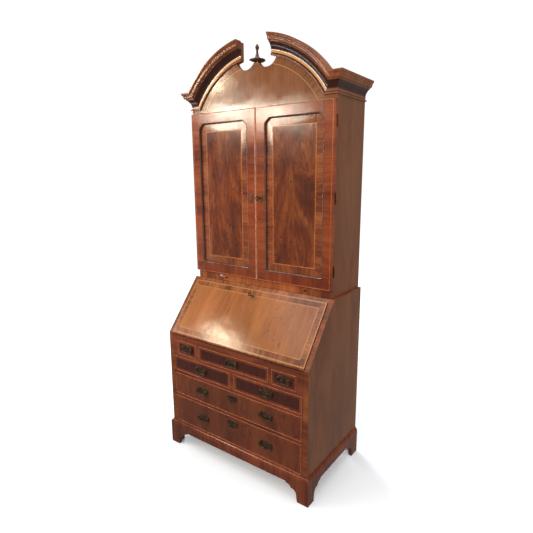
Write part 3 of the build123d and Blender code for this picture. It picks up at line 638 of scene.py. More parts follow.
# ------------------------------------------------------------------ workshop
@dataclass
class Workshop:
    """Cuts shapes with bmesh operators and fits the finished pieces to the desk."""

    palette: Palette
    made: int = 0

    @staticmethod
    def slab(bm: bmesh.types.BMesh, low: Point, high: Point) -> list[bmesh.types.BMVert]:
        """Add a box between two corners.

        Args:
            bm: Mesh to add to.
            low: Lowest corner.
            high: Highest corner.

        Returns:
            The new vertices.
        """
        middle = (Vector(low) + Vector(high)) / 2
        size = Vector(high) - Vector(low)
        matrix = Matrix.Translation(middle) @ Matrix.Diagonal((*size, 1.0))
        return bmesh.ops.create_cube(bm, size=1.0, matrix=matrix)["verts"]

    @staticmethod
    def tint(bm: bmesh.types.BMesh, start: int, index: int) -> None:
        """Give the faces made since a count a material index."""
        bm.faces.ensure_lookup_table()
        for face in bm.faces[start:]:
            face.material_index = index

    @staticmethod
    def soften(bm: bmesh.types.BMesh, edges: Sequence[bmesh.types.BMEdge], width: float,
               segments: int = 2) -> None:
        """Round some edges.

        Args:
            bm: Mesh to change.
            edges: Edges to round.
            width: Width of the rounding.
            segments: Steps across it.
        """
        bmesh.ops.bevel(bm, geom=list(edges), offset=width, offset_type="OFFSET", segments=segments,
                        profile=0.5, affect="EDGES", material=-1, clamp_overlap=True)

    @staticmethod
    def lathe(bm: bmesh.types.BMesh, profile: Sequence[tuple[float, float]], centre: Point,
              axis: Point, steps: int = 40) -> None:
        """Turn a profile of (radius, height) points about an axis through a centre.

        Args:
            bm: Mesh to add to.
            profile: Points from one end of the axis to the other.
            centre: Foot of the axis.
            axis: Direction of the heights.
            steps: Sides of the turned shape.
        """
        turn = Vector((0, 0, 1)).rotation_difference(Vector(axis)).to_matrix().to_4x4()
        place = Matrix.Translation(Vector(centre)) @ turn
        verts = [bm.verts.new(place @ Vector((radius, 0.0, height))) for radius, height in profile]
        edges = [bm.edges.new(pair) for pair in zip(verts, verts[1:])]
        bmesh.ops.spin(bm, geom=verts + edges, cent=centre, axis=axis, dvec=(0, 0, 0),
                       angle=2 * math.pi, steps=steps, use_merge=True)
        bmesh.ops.remove_doubles(bm, verts=bm.verts, dist=SMALL)

    @staticmethod
    def tube(bm: bmesh.types.BMesh, points: Sequence[Point], radii: Sequence[float]) -> None:
        """Add a round wire along a smooth line through a few control points.

        Args:
            bm: Mesh to add to.
            points: Control points of the line.
            radii: Radius at each of them.
        """
        curve = bpy.data.curves.new("wire", "CURVE")
        curve.dimensions = "3D"
        curve.bevel_depth = 1.0
        curve.bevel_resolution = 4
        curve.use_fill_caps = True
        spline = curve.splines.new("NURBS")
        spline.points.add(len(points) - 1)
        for item, point, radius in zip(spline.points, points, radii):
            item.co = (*point, 1.0)
            item.radius = radius
        spline.order_u = 3
        spline.use_endpoint_u = True
        spline.resolution_u = 6
        wire = bpy.data.objects.new("wire", curve)
        bpy.context.scene.collection.objects.link(wire)
        graph = bpy.context.evaluated_depsgraph_get()
        mesh = bpy.data.meshes.new_from_object(wire.evaluated_get(graph))
        bm.from_mesh(mesh)
        bpy.data.objects.remove(wire)
        bpy.data.curves.remove(curve)
        bpy.data.meshes.remove(mesh)
        bmesh.ops.remove_doubles(bm, verts=bm.verts, dist=SMALL)

    @staticmethod
    def shape_plate(bm: bmesh.types.BMesh, centre: Point, half: tuple[float, float], thick: float,
                    outline: Callable[[float], float], sides: int = 96) -> None:
        """Add an upright plate whose outline is a circle pulled in and out.

        Args:
            bm: Mesh to add to.
            centre: Middle of the plate's back face.
            half: Half width and half height.
            thick: Thickness towards -Y.
            outline: Reach at an angle, 1 being the full half size.
            sides: Points of the outline.
        """
        turn = Matrix.Rotation(math.pi / 2, 4, "X")
        verts = bmesh.ops.create_circle(bm, cap_ends=True, radius=1.0, segments=sides,
                                        matrix=turn)["verts"]
        for vert in verts:
            angle = math.atan2(vert.co.z, vert.co.x)
            reach = outline(angle)
            vert.co = Vector(centre) + Vector((math.cos(angle) * reach * half[0], 0.0,
                                               math.sin(angle) * reach * half[1]))
        faces = list({face for vert in verts for face in vert.link_faces})
        grown = bmesh.ops.extrude_face_region(bm, geom=faces)["geom"]
        front = [item for item in grown if isinstance(item, bmesh.types.BMVert)]
        bmesh.ops.translate(bm, verts=front, vec=(0.0, -thick, 0.0))
        top = [item for item in grown if isinstance(item, bmesh.types.BMFace)]
        bmesh.ops.inset_region(bm, faces=top, thickness=thick * 0.5, depth=thick * 0.3,
                               use_even_offset=False)

    def finish(self, bm: bmesh.types.BMesh, name: str, body: str, finishes: Sequence[str],
               replaces: Sequence[str] = (), angle: float = 35.0) -> bpy.types.Object:
        """Turn a bmesh into a piece that rides on a body.

        Args:
            bm: The shape, in the desk's frame; it is freed.
            name: Name of the piece.
            body: Body that it moves with.
            finishes: Palette names, one per material index.
            replaces: CAD nodes that it stands for.
            angle: Edges sharper than this stay sharp.

        Returns:
            The piece.
        """
        bmesh.ops.recalc_face_normals(bm, faces=bm.faces)
        mesh = bpy.data.meshes.new(name)
        bm.to_mesh(mesh)
        bm.free()
        for key in finishes:
            mesh.materials.append(self.palette[key])
        mesh.shade_smooth()
        mesh.set_sharp_from_angle(angle=math.radians(angle))
        piece = bpy.data.objects.new(name, mesh)
        bpy.context.scene.collection.objects.link(piece)
        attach(piece, body)
        self.palette.slot(finishes[0])
        if replaces:
            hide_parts(*replaces)
        self.made += 1
        LOG.info("made %s on %s, %d faces", name, body, len(mesh.polygons))
        return piece

    def dress(self, node: str, key: str) -> None:
        """Give a CAD node a finish of the palette."""
        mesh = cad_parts[node].data
        mesh.materials.clear()
        mesh.materials.append(self.palette[key])
        LOG.info("dressed %s in %s", node, key)


@dataclass(frozen=True)
class Ring:
    """One step in from the edge of an inlaid face."""

    width: float
    index: int
    depth: float = 0.0
    index_up: Optional[int] = None


def inlay(bm: bmesh.types.BMesh, face: bmesh.types.BMFace, rings: Sequence[Ring],
          centre: int) -> None:
    """Divide a face into bands, stringing and a field, by steps in from its edge.

    Args:
        bm: Mesh that holds the face.
        face: Face to divide.
        rings: Steps from the edge inwards; index_up is for the level parts of a ring, whose
            grain stands upright.
        centre: Material index of the field.
    """
    for ring in rings:
        made = bmesh.ops.inset_region(bm, faces=[face], thickness=ring.width, depth=ring.depth,
                                      use_even_offset=True)["faces"]
        for part in made:
            longest = max(part.edges, key=lambda edge: edge.calc_length())
            run = longest.verts[0].co - longest.verts[1].co
            level = abs(run.x) > max(abs(run.y), abs(run.z))
            upright = level and ring.index_up is not None
            part.material_index = ring.index_up if upright else ring.index
    face.material_index = centre


def facing(bm: bmesh.types.BMesh, direction: Point) -> list[bmesh.types.BMFace]:
    """Faces that look along a direction."""
    bm.normal_update()
    return [face for face in bm.faces if face.normal.dot(Vector(direction)) > 0.99]


# ------------------------------------------------------------------ drawers
@dataclass
class DrawerSet:
    """Seven drawers of the lower case: fronts, cock beads and boxes."""

    shop: Workshop
    names: tuple[str, ...] = ("top_left", "top_middle", "top_right", "second_left", "second_right",
                              "third", "bottom")
    band: float = 0.012
    bead: float = 0.0035
    proud: float = 0.002
    front: float = 0.020
    lining: float = 0.010
    floor: float = 0.008
    floor_lift: float = 0.003
    side_drop: float = 0.0105
    rebate: float = 0.001

    def build(self) -> None:
        """Build every drawer."""
        for name in self.names:
            node = f"drawer_{name}"
            low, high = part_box(node)
            self.build_front(node, low, high)
            self.build_bead(node, low, high)
            self.build_box(node, low, high)

    def build_front(self, node: str, low: Vector, high: Vector) -> None:
        """Front board with a cross-grained band round a burr field.

        Args:
            node: CAD node and body of the drawer.
            low: Lowest corner of the node.
            high: Highest corner of the node.
        """
        bm = bmesh.new()
        base = low.z + self.rebate
        back = low.y + self.front + self.proud
        self.shop.slab(bm, (low.x, low.y + self.proud, base), (high.x, back, high.z))
        for face in bm.faces:
            face.material_index = 4
        front = facing(bm, (0, -1, 0))[0]
        inlay(bm, front, [Ring(self.bead, 3), Ring(self.band, 1, index_up=2)], 0)
        field = "dark_burr" if "top" in node or "second" in node else "burr"
        self.shop.finish(bm, f"{node}_front", node, (field, "band", "band_up", "bead", "oak"),
                         (node,))

    def build_bead(self, node: str, low: Vector, high: Vector) -> None:
        """Rounded bead standing proud all round the front.

        Args:
            node: CAD node and body of the drawer.
            low: Lowest corner of the node.
            high: Highest corner of the node.
        """
        corners = rectangle(low.x, low.z + self.rebate, high.x, high.z)
        bm = framed(corners, low.y + self.proud, self.bead, self.proud)
        self.shop.finish(bm, f"{node}_bead", node, ("bead",))

    def build_box(self, node: str, low: Vector, high: Vector) -> None:
        """Lining boards behind the front: two sides, a back and a bottom.

        Args:
            node: CAD node and body of the drawer.
            low: Lowest corner of the node.
            high: Highest corner of the node.
        """
        bm = bmesh.new()
        start = low.y + self.front + self.proud
        foot = low.z
        top = high.z - self.side_drop
        left = low.x + self.rebate
        right = high.x - self.rebate
        inner_left = left + self.lining
        inner_right = right - self.lining
        floor_low = foot + self.floor_lift
        floor_high = floor_low + self.floor
        self.shop.slab(bm, (left, start, foot), (inner_left, high.y, top))
        self.shop.slab(bm, (inner_right, start, foot), (right, high.y, top))
        self.shop.slab(bm, (inner_left, high.y - self.lining, floor_high),
                       (inner_right, high.y, top))
        self.shop.slab(bm, (inner_left, start, floor_low), (inner_right, high.y, floor_high))
        rims = [edge for edge in bm.edges
                if all(abs(vert.co.z - top) < SMALL for vert in edge.verts)]
        self.shop.soften(bm, rims, 0.0018)
        self.shop.finish(bm, f"{node}_box", node, ("oak",))


def rectangle(x0: float, z0: float, x1: float, z1: float) -> list[tuple[float, float]]:
    """(X, Z) corners of an upright rectangle, from its lower left one."""
    return [(x0, z0), (x1, z0), (x1, z1), (x0, z1)]


def framed(corners: Sequence[tuple[float, float]], plane: float, width: float,
           proud: float) -> bmesh.types.BMesh:
    """Closed rounded bead that runs round an outline of (X, Z) corners.

    Args:
        corners: Outline, in order.
        plane: Y of the bead's back.
        width: Width of the bead, inwards.
        proud: How far it stands towards -Y.

    Returns:
        The mesh.
    """
    bm = bmesh.new()
    verts = [bm.verts.new((x, plane, z)) for x, z in corners]
    face = bm.faces.new(verts)
    bm.normal_update()
    ring = bmesh.ops.inset_region(bm, faces=[face], thickness=width, use_even_offset=True,
                                  use_boundary=True)["faces"]
    bmesh.ops.delete(bm, geom=[face], context="FACES_ONLY")
    grown = bmesh.ops.extrude_face_region(bm, geom=ring)["geom"]
    front = [item for item in grown if isinstance(item, bmesh.types.BMVert)]
    bmesh.ops.translate(bm, verts=front, vec=(0.0, -proud, 0.0))
    outer = set(front)
    bmesh.ops.recalc_face_normals(bm, faces=bm.faces)
    edges = [edge for edge in bm.edges if all(vert in outer for vert in edge.verts)
             and len(edge.link_faces) == 2 and edge.calc_face_angle(0.0) > 1.0]
    Workshop.soften(bm, edges, min(width * 0.45, proud * 0.9), 3)
    return bm


# ------------------------------------------------------------------ brass
@dataclass
class Brasswork:
    """Back plates, bails, lock plates, escutcheons and keys."""

    shop: Workshop
    post: float = 0.033
    plate: tuple[float, float] = (0.046, 0.027)
    lock: tuple[float, float] = (0.042, 0.025)
    thick: float = 0.002
    drop: float = 0.008
    fall_lock: float = 0.327
    fall_proud: float = 0.0055
    door_lock: tuple[float, float] = (0.034, 1.570)
    spots: tuple[tuple[str, tuple[Handle, ...], Optional[tuple[float, float]]], ...] = (
        ("top_left", ((-0.352, 0.672, ""),), None), ("top_middle", ((0.0, 0.672, ""),), None),
        ("top_right", ((0.352, 0.672, ""),), None), ("second_left", ((-0.239, 0.565, ""),), None),
        ("second_right", ((0.239, 0.565, ""),), None),
        ("third", ((-0.236, 0.432, "_left"), (0.236, 0.432, "_right")), (0.0, 0.448)),
        ("bottom", ((-0.234, 0.256, "_left"), (0.234, 0.256, "_right")), (0.0, 0.290)))
    outline: tuple[tuple[float, float], ...] = (
        (0.0, 1.0), (0.16, 0.82), (0.40, 0.80), (0.62, 0.86), (0.80, 0.66), (1.0, 0.30), (0.86, 0.0),
        (0.92, -0.34), (0.66, -0.50), (0.44, -0.86), (0.20, -0.76), (0.0, -1.0))

    def reach(self, angle: float) -> float:
        """Reach of the shaped outline at an angle.

        Args:
            angle: Angle from +X towards +Z.

        Returns:
            Reach, about 1.
        """
        turn = math.atan2(math.sin(angle), abs(math.cos(angle)))
        marks = sorted((math.atan2(v, u), math.hypot(u, v)) for u, v in self.outline)
        for (low, first), (high, second) in zip(marks, marks[1:]):
            if low <= turn <= high:
                share = (turn - low) / (high - low)
                share = share * share * (3.0 - 2.0 * share)
                return first + (second - first) * share
        return marks[-1][1]

    def build(self) -> None:
        """Build the brass of every drawer and the keys."""
        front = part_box("drawer_third")[0].y + 0.002
        for name, handles, lock in self.spots:
            bm = bmesh.new()
            for x, z, tag in handles:
                self.back_plate(bm, x, z, front, self.plate, lock is None)
                self.posts(bm, x, z, front)
                self.bail(f"bail_{name}{tag}", x, z, front)
            if lock is not None:
                self.back_plate(bm, lock[0], lock[1] + self.drop, front, self.lock, True)
            self.shop.finish(bm, f"{name}_plates", f"drawer_{name}", ("brass", "dark"),
                             (f"plates_{name}",), 25.0)
        fall_lock = (Vector((0.0, front, SLOPE_Z)) + UP_SLOPE * self.fall_lock
                     + OUT_SLOPE * self.fall_proud)
        self.key("fall_key", fall_lock, OUT_SLOPE, UP_SLOPE)
        x, z = self.door_lock
        self.key("door_key", Vector((x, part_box("door_right_frame")[0].y, z)),
                 Vector((0.0, -1.0, 0.0)), Vector((0.0, 0.0, 1.0)))

    def back_plate(self, bm: bmesh.types.BMesh, x: float, z: float, front: float,
                   half: tuple[float, float], keyhole: bool) -> None:
        """Shaped plate with a bevelled edge and perhaps a keyhole.

        Args:
            bm: Mesh to add to.
            x: Place across.
            z: Height of the bail's axis; the plate's middle is a drop lower.
            front: Y of the drawer's face.
            half: Half size of the plate.
            keyhole: True where the plate covers a lock.
        """
        middle = (x, front, z - self.drop)
        self.shop.shape_plate(bm, middle, half, self.thick * 0.72, self.reach)
        face = front - self.thick * 1.02
        if keyhole:
            # The keyhole's eye and slot are near-black painted shade standing in for the hole.
            self.mark(bm, x, z - self.drop + 0.004, face, 0.0030)
            start = len(bm.faces)
            self.shop.slab(bm, (x - 0.0014, face - 0.0001, z - self.drop - 0.008),
                           (x + 0.0014, face + 0.0008, z - self.drop + 0.003))
            self.shop.tint(bm, start, 1)

    def mark(self, bm: bmesh.types.BMesh, x: float, z: float, face: float, radius: float) -> None:
        """Dark round eye of a keyhole: a near-black disc that is painted shade standing in for the hole.

        Args:
            bm: Mesh to add to.
            x: Place across.
            z: Height.
            face: Y of the plate's face.
            radius: Radius of the eye.
        """
        start = len(bm.faces)
        turn = Matrix.Translation((x, face + 0.0003, z)) @ Matrix.Rotation(math.pi / 2, 4, "X")
        bmesh.ops.create_cone(bm, cap_ends=True, segments=20, radius1=radius, radius2=radius,
                              depth=0.0008, matrix=turn)
        self.shop.tint(bm, start, 1)

    def posts(self, bm: bmesh.types.BMesh, x: float, z: float, front: float) -> None:
        """Pair of turned posts that hold a bail.

        Args:
            bm: Mesh to add to.
            x: Middle of the pair.
            z: Height of the bail's axis.
            front: Y of the drawer's face.
        """
        profile = ((0.0, 0.0015), (0.0066, 0.0015), (0.0066, 0.0026), (0.0048, 0.0038), (0.0036, 0.0050),
                   (0.0044, 0.0064), (0.0046, 0.0095), (0.0040, 0.0112), (0.0024, 0.0122), (0.0, 0.0125))
        for side in (-1, 1):
            self.shop.lathe(bm, profile, (x + side * self.post, front, z), (0.0, -1.0, 0.0), 24)

    def bail(self, node: str, x: float, z: float, front: float) -> None:
        """Hanging bail, swelling a little at its middle.

        Args:
            node: CAD node and body of the bail.
            x: Middle of the handle.
            z: Height of its axis.
            front: Y of the drawer's face.
        """
        y = front - 0.008
        half = ((0.0290, 0.0, 0.0018), (0.0380, 0.0, 0.0019), (0.0432, 0.0004, 0.0020),
                (0.0428, -0.0060, 0.0020), (0.0400, -0.0150, 0.0021), (0.0385, -0.0235, 0.0022),
                (0.0320, -0.0258, 0.0022), (0.0160, -0.0246, 0.0021), (0.0060, -0.0252, 0.0026))
        right = [((x + a, y, z + b), r) for a, b, r in half]
        left = [((x - a, y, z + b), r) for a, b, r in reversed(half)]
        run = right + left
        bm = bmesh.new()
        self.shop.tube(bm, [point for point, _ in run], [radius for _, radius in run])
        self.shop.finish(bm, f"{node}_wire", node, ("brass",), (node,), 60.0)

    def key(self, node: str, foot: Vector, out: Vector, up: Vector) -> None:
        """Key with a shank, a collar and a pierced oval bow.

        Args:
            node: CAD node and body of the key.
            foot: Where the shank enters the lock.
            out: Direction the key sticks out in.
            up: Direction that lies in the bow's plane.
        """
        bm = bmesh.new()
        shank = ((0.0, -0.010), (0.0026, -0.010), (0.0026, 0.0205), (0.0040, 0.0215), (0.0042, 0.0240),
                 (0.0030, 0.0252), (0.0028, 0.0262), (0.0, 0.0266))
        self.shop.lathe(bm, shank, foot, out, 24)
        centre = foot + out * 0.0370
        side = out.cross(up).normalized()
        frame_turn = Matrix((out, up, side)).transposed().to_4x4()
        place = Matrix.Translation(centre) @ frame_turn
        ring = bmesh.new()
        section = Matrix.Translation((0.0105, 0.0, 0.0)) @ Matrix.Rotation(math.pi / 2, 4, "X")
        made = bmesh.ops.create_circle(ring, cap_ends=False, radius=0.0022, segments=12,
                                       matrix=section)
        bmesh.ops.spin(ring, geom=made["verts"] + list(ring.edges), cent=(0, 0, 0), axis=(0, 0, 1),
                       dvec=(0, 0, 0), angle=2 * math.pi, steps=40, use_merge=True)
        bmesh.ops.remove_doubles(ring, verts=ring.verts, dist=SMALL)
        bmesh.ops.transform(ring, matrix=place, verts=ring.verts)
        mesh = bpy.data.meshes.new("bow")
        ring.to_mesh(mesh)
        ring.free()
        bm.from_mesh(mesh)
        bpy.data.meshes.remove(mesh)
        self.shop.finish(bm, f"{node}_shape", node, ("knob",), (node,), 50.0)


# ------------------------------------------------------------------ doors
@dataclass
class Doors:
    """Two framed doors with sticking, fielded panels and beads."""

    shop: Workshop
    stile: float = 0.063
    rail_low: float = 0.061
    rail_top: float = 0.060
    cant: tuple[float, float] = (0.032, 0.028)
    grow: float = 0.005
    round: float = 0.0065
    edge: float = 0.0042
    strip: float = 0.0095
    margin: float = 0.042
    rise: float = 0.0045
    face_drop: float = 0.0136
    bead_reach: float = 0.0070
    bead_proud: float = 0.003

    def __post_init__(self) -> None:
        """Take the corners of the right door's frame."""
        self.low, self.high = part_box("door_right_frame")

    def build(self) -> None:
        """Build both doors, the left as a mirror of the right."""
        for side, sign in (("right", 1.0), ("left", -1.0)):
            self.frame_boards(side, sign)
            self.sticking(side, sign)
            self.panel(side, sign)
            self.edge_bead(side, sign)
        self.meeting_bead()

    def opening(self, grow: float) -> list[tuple[float, float]]:
        """Outline of the panel opening, canted at its top corners.

        Args:
            grow: How far outside the opening the outline runs.

        Returns:
            (X, Z) corners, counter-clockwise from the lower left.
        """
        x0 = self.low.x + self.stile - grow
        x1 = self.high.x - self.stile + grow
        z0 = self.low.z + self.rail_low - grow
        z1 = self.high.z - self.rail_top + grow
        cx, cz = self.cant
        return [(x0, z0), (x1, z0), (x1, z1 - cz), (x1 - cx, z1), (x0 + cx, z1), (x0, z1 - cz)]

    def prism(self, bm: bmesh.types.BMesh, outline: Sequence[tuple[float, float]], y0: float,
              y1: float, index: int = 0) -> bmesh.types.BMFace:
        """Add a solid over an upright outline.

        Args:
            bm: Mesh to add to.
            outline: (X, Z) corners.
            y0: Front.
            y1: Back.
            index: Material index of its faces.

        Returns:
            The front face.
        """
        start = len(bm.faces)
        verts = [bm.verts.new((x, y1, z)) for x, z in outline]
        face = bm.faces.new(verts)
        grown = bmesh.ops.extrude_face_region(bm, geom=[face])["geom"]
        moved = [item for item in grown if isinstance(item, bmesh.types.BMVert)]
        bmesh.ops.translate(bm, verts=moved, vec=(0.0, y0 - y1, 0.0))
        self.shop.tint(bm, start, index)
        return [item for item in grown if isinstance(item, bmesh.types.BMFace)][0]

    def turned(self, bm: bmesh.types.BMesh, sign: float) -> bmesh.types.BMesh:
        """Mirror a right-hand shape when the left one is wanted."""
        if sign < 0:
            bmesh.ops.scale(bm, vec=(-1.0, 1.0, 1.0), verts=bm.verts)
        return bm

    def frame_boards(self, side: str, sign: float) -> None:
        """Two stiles and two rails.

        Args:
            side: Name of the side.
            sign: 1 for right, -1 for left.
        """
        bm = bmesh.new()
        hole = self.opening(self.grow)
        x0, z0 = hole[0]
        x1, z_cant = hole[2]
        low, high = self.low, self.high
        top = [(x0, z_cant), hole[4], hole[3], (x1, z_cant), (x1, high.z), (x0, high.z)]
        boards = ((rectangle(low.x, low.z, x0, high.z), 0), (rectangle(x1, low.z, high.x, high.z), 0),
                  (rectangle(x0, low.z, x1, z0), 1), (top, 1))
        for outline, index in boards:
            self.prism(bm, outline, low.y, high.y, index)
        self.shop.finish(self.turned(bm, sign), f"door_{side}_boards", f"door_{side}",
                         ("stile", "door_rail"), (f"door_{side}_frame",))

    def sticking(self, side: str, sign: float) -> None:
        """Rounded moulding round the opening, mitred at its corners.

        Args:
            side: Name of the side.
            sign: 1 for right, -1 for left.
        """
        bm = bmesh.new()
        back = self.low.y + self.face_drop - 0.0002
        face = self.prism(bm, self.opening(self.grow), self.low.y - 0.0008, back)
        bm.normal_update()
        steps = 6
        for i in range(steps):
            first = math.pi / 2 * i / steps
            last = math.pi / 2 * (i + 1) / steps
            bmesh.ops.inset_region(bm, faces=[face], use_even_offset=True,
                                   thickness=self.round * (math.sin(last) - math.sin(first)),
                                   depth=-self.round * (math.cos(first) - math.cos(last)))
        bmesh.ops.inset_region(bm, faces=[face], thickness=0.0002, depth=-0.005,
                               use_even_offset=True)
        far = [item for item in bm.faces
               if all(abs(vert.co.y - back) < SMALL for vert in item.verts)]
        loops = list(face.edges) + list(far[0].edges)
        bmesh.ops.delete(bm, geom=[face, far[0]], context="FACES_ONLY")
        bmesh.ops.bridge_loops(bm, edges=loops)
        self.shop.finish(self.turned(bm, sign), f"door_{side}_sticking", f"door_{side}",
                         ("sticking",), angle=50.0)

    def panel(self, side: str, sign: float) -> None:
        """Fielded panel: bevelled margin, light line and burr field.

        Args:
            side: Name of the side.
            sign: 1 for right, -1 for left.
        """
        bm = bmesh.new()
        plane = self.low.y + self.face_drop
        corners = self.opening(0.007)
        x0, z0 = corners[0]
        x1 = corners[1][0]
        z1 = corners[3][1]
        face = self.prism(bm, rectangle(x0, z0, x1, z1), plane, plane + 0.004, 2)
        bm.normal_update()
        rings = [Ring(0.008, 0, 0.0, 1), Ring(self.margin, 0, self.rise, 1),
                 Ring(0.0004, 3, -0.0007), Ring(0.0042, 3), Ring(0.0004, 3, 0.0005)]
        inlay(bm, face, rings, 2)
        self.shop.finish(self.turned(bm, sign), f"door_{side}_field", f"door_{side}",
                         ("margin", "margin_up", "door_burr", "panel_line"), (f"door_{side}_panel",))

    def edge_bead(self, side: str, sign: float) -> None:
        """Thin bead round the door's outer edge.

        Args:
            side: Name of the side.
            sign: 1 for right, -1 for left.
        """
        corners = rectangle(self.low.x, self.low.z, self.high.x - self.strip, self.high.z)
        bm = framed(corners, self.low.y + 0.0004, self.edge, 0.0020)
        self.shop.finish(self.turned(bm, sign), f"door_{side}_edge", f"door_{side}", ("bead",))

    def meeting_bead(self) -> None:
        """Half-round strip that covers the gap between the doors; its pale colour is a painted highlight."""
        bm = bmesh.new()
        low, high = self.low, self.high
        self.shop.slab(bm, (-self.bead_reach, low.y - self.bead_proud, low.z),
                       (-low.x, low.y + 0.001, high.z))
        rims = [edge for edge in bm.edges
                if all(abs(vert.co.y - low.y + self.bead_proud) < SMALL for vert in edge.verts)
                and edge.calc_length() > 0.5]
        self.shop.soften(bm, rims, 0.0028, 4)
        self.shop.finish(bm, "door_left_meeting_bead", "door_left", ("pale_bead",))


# ------------------------------------------------------------------ fall
@dataclass
class Fall:
    """Sloping writing fall with its banding and light lines."""

    shop: Workshop
    half: float = 0.4714
    foot: float = 0.008
    length: float = 0.374
    thick: float = 0.022
    proud: float = 0.0055
    rings: tuple[Ring, ...] = (Ring(0.0010, 2, 0.0, 2), Ring(0.0065, 3), Ring(0.0290, 1, 0.0, 2),
                               Ring(0.0050, 3))

    def place(self, along: float, out: float) -> Vector:
        """Point of the slope in the desk's middle plane.

        Args:
            along: Distance up the slope.
            out: Distance out of it.

        Returns:
            The point.
        """
        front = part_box("gable_right")[0].y
        return Vector((0.0, front, SLOPE_Z)) + UP_SLOPE * along + OUT_SLOPE * out

    def build(self) -> None:
        """Build the board."""
        bm = bmesh.new()
        radius = self.thick / 2
        outline = [self.place(self.foot, self.proud), self.place(self.length, self.proud),
                   self.place(self.length, self.proud - self.thick),
                   self.place(self.foot, self.proud - self.thick)]
        centre = self.place(self.foot, self.proud - radius)
        for i in range(1, 14):
            turn = math.pi * i / 14
            outline.append(centre - OUT_SLOPE * radius * math.cos(turn)
                           - UP_SLOPE * radius * math.sin(turn))
        verts = [bm.verts.new(point + Vector((-self.half, 0.0, 0.0))) for point in outline]
        face = bm.faces.new(verts)
        grown = bmesh.ops.extrude_face_region(bm, geom=[face])["geom"]
        moved = [item for item in grown if isinstance(item, bmesh.types.BMVert)]
        bmesh.ops.translate(bm, verts=moved, vec=(2 * self.half, 0.0, 0.0))
        bmesh.ops.recalc_face_normals(bm, faces=bm.faces)
        for item in bm.faces:
            # End faces get index 4: dark end grain, deepened into painted shade of the gap beside the gable.
            item.material_index = 4 if abs(item.normal.x) > 0.9 else 2
        board = max(facing(bm, tuple(OUT_SLOPE)), key=lambda item: item.calc_area())
        rims = [edge for edge in board.edges if edge.verts[0].co.z + edge.verts[1].co.z > 1.6]
        self.shop.soften(bm, rims, 0.0008)
        board = max(facing(bm, tuple(OUT_SLOPE)), key=lambda item: item.calc_area())
        inlay(bm, board, self.rings, 0)
        self.shop.finish(bm, "fall_veneered", "fall",
                         ("fall", "fall_band", "fall_band_up", "line", "shade_edge"), ("fall_board",))


# ------------------------------------------------------------------ pediment and slides
@dataclass
class Details:
    """Finial, candle slides, inner drawers and their turned knobs."""

    shop: Workshop

    def build(self) -> None:
        """Build the pieces."""
        low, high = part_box("finial")
        middle = (low + high) / 2
        profile = ((0.0, 0.0), (0.012, 0.0), (0.020, 0.0012), (0.031, 0.004), (0.040, 0.0072),
                   (0.0436, 0.0098), (0.0440, 0.0120), (0.0432, 0.0146), (0.0410, 0.0160), (0.0300, 0.0178),
                   (0.0205, 0.0206), (0.0140, 0.0262), (0.0105, 0.0320), (0.0088, 0.0385), (0.0068, 0.0460),
                   (0.0060, 0.0540), (0.0060, 0.0630), (0.0082, 0.0668), (0.0106, 0.0710), (0.0110, 0.0746),
                   (0.0098, 0.0800), (0.0068, 0.0862), (0.0034, 0.0912), (0.0, 0.0950))
        bm = bmesh.new()
        self.shop.lathe(bm, profile, (middle.x, middle.y, low.z), (0.0, 0.0, 1.0), 48)
        self.shop.finish(bm, "finial_turned", "case", ("finial",), ("finial",), 45.0)
        for side in ("left", "right"):
            self.slide(f"candle_slide_{side}")
            self.small_drawer(f"inner_drawer_{side}")

    def knob(self, node: str, x: float, y: float, z: float, size: float) -> None:
        """Turned knob standing on a front.

        Args:
            node: Body it rides on.
            x: Place across.
            y: Front it stands on.
            z: Height.
            size: Radius of its head.
        """
        profile = ((0.0, -0.002), (0.55, -0.002), (0.55, 0.15), (0.36, 0.35), (0.34, 0.85), (0.62, 1.10),
                   (0.92, 1.42), (1.0, 1.80), (0.92, 2.20), (0.60, 2.60), (0.0, 2.80))
        bm = bmesh.new()
        self.shop.lathe(bm, [(size * a, size * b) for a, b in profile], (x, y, z), (0.0, -1.0, 0.0), 28)
        self.shop.finish(bm, f"{node}_knob", node, ("knob",), (), 40.0)

    def slide(self, node: str) -> None:
        """Candle slide: a narrow front, a flat tray and a knob.

        Args:
            node: CAD node and body of the slide.
        """
        low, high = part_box(node)
        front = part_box("waist_rail")[0].y
        bm = bmesh.new()
        self.shop.slab(bm, (low.x, front, low.z), (high.x, front + 0.012, high.z))
        self.shop.slab(bm, (low.x, front + 0.0125, low.z + 0.005), (high.x, high.y, low.z + 0.015))
        sharp = [edge for edge in bm.edges if edge.calc_length() > 0.009]
        self.shop.soften(bm, sharp, 0.0007)
        self.shop.finish(bm, f"{node}_tray", node, ("waist",), (node,))
        self.knob(node, (low.x + high.x) / 2, front, (low.z + high.z) / 2, 0.005)

    def small_drawer(self, node: str) -> None:
        """Small drawer of the writing interior, with its knob.

        Args:
            node: CAD node and body of the drawer.
        """
        low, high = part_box(node)
        front = low.y + 0.017
        bm = bmesh.new()
        self.shop.slab(bm, (low.x, front, low.z), (high.x, front + 0.009, high.z))
        faces = facing(bm, (0, -1, 0))
        inlay(bm, faces[0], [Ring(0.006, 1, 0.0, 2), Ring(0.0012, 3)], 0)
        wall = 0.006
        back = front + 0.009
        left, right, rim = low.x + wall, high.x - wall, high.z - wall
        floor_low, floor_high = low.z + 0.001, low.z + 0.005
        start = len(bm.faces)
        self.shop.slab(bm, (low.x, back, low.z), (left, high.y, rim))
        self.shop.slab(bm, (right, back, low.z), (high.x, high.y, rim))
        self.shop.slab(bm, (left, back, floor_low), (right, high.y, floor_high))
        self.shop.slab(bm, (left, high.y - wall, floor_high), (right, high.y, rim))
        self.shop.tint(bm, start, 4)
        self.shop.finish(bm, f"{node}_case", node, ("burr", "band", "band_up", "bead", "oak"),
                         (node,))
        self.knob(node, (low.x + high.x) / 2, front, (low.z + high.z) / 2, 0.006)


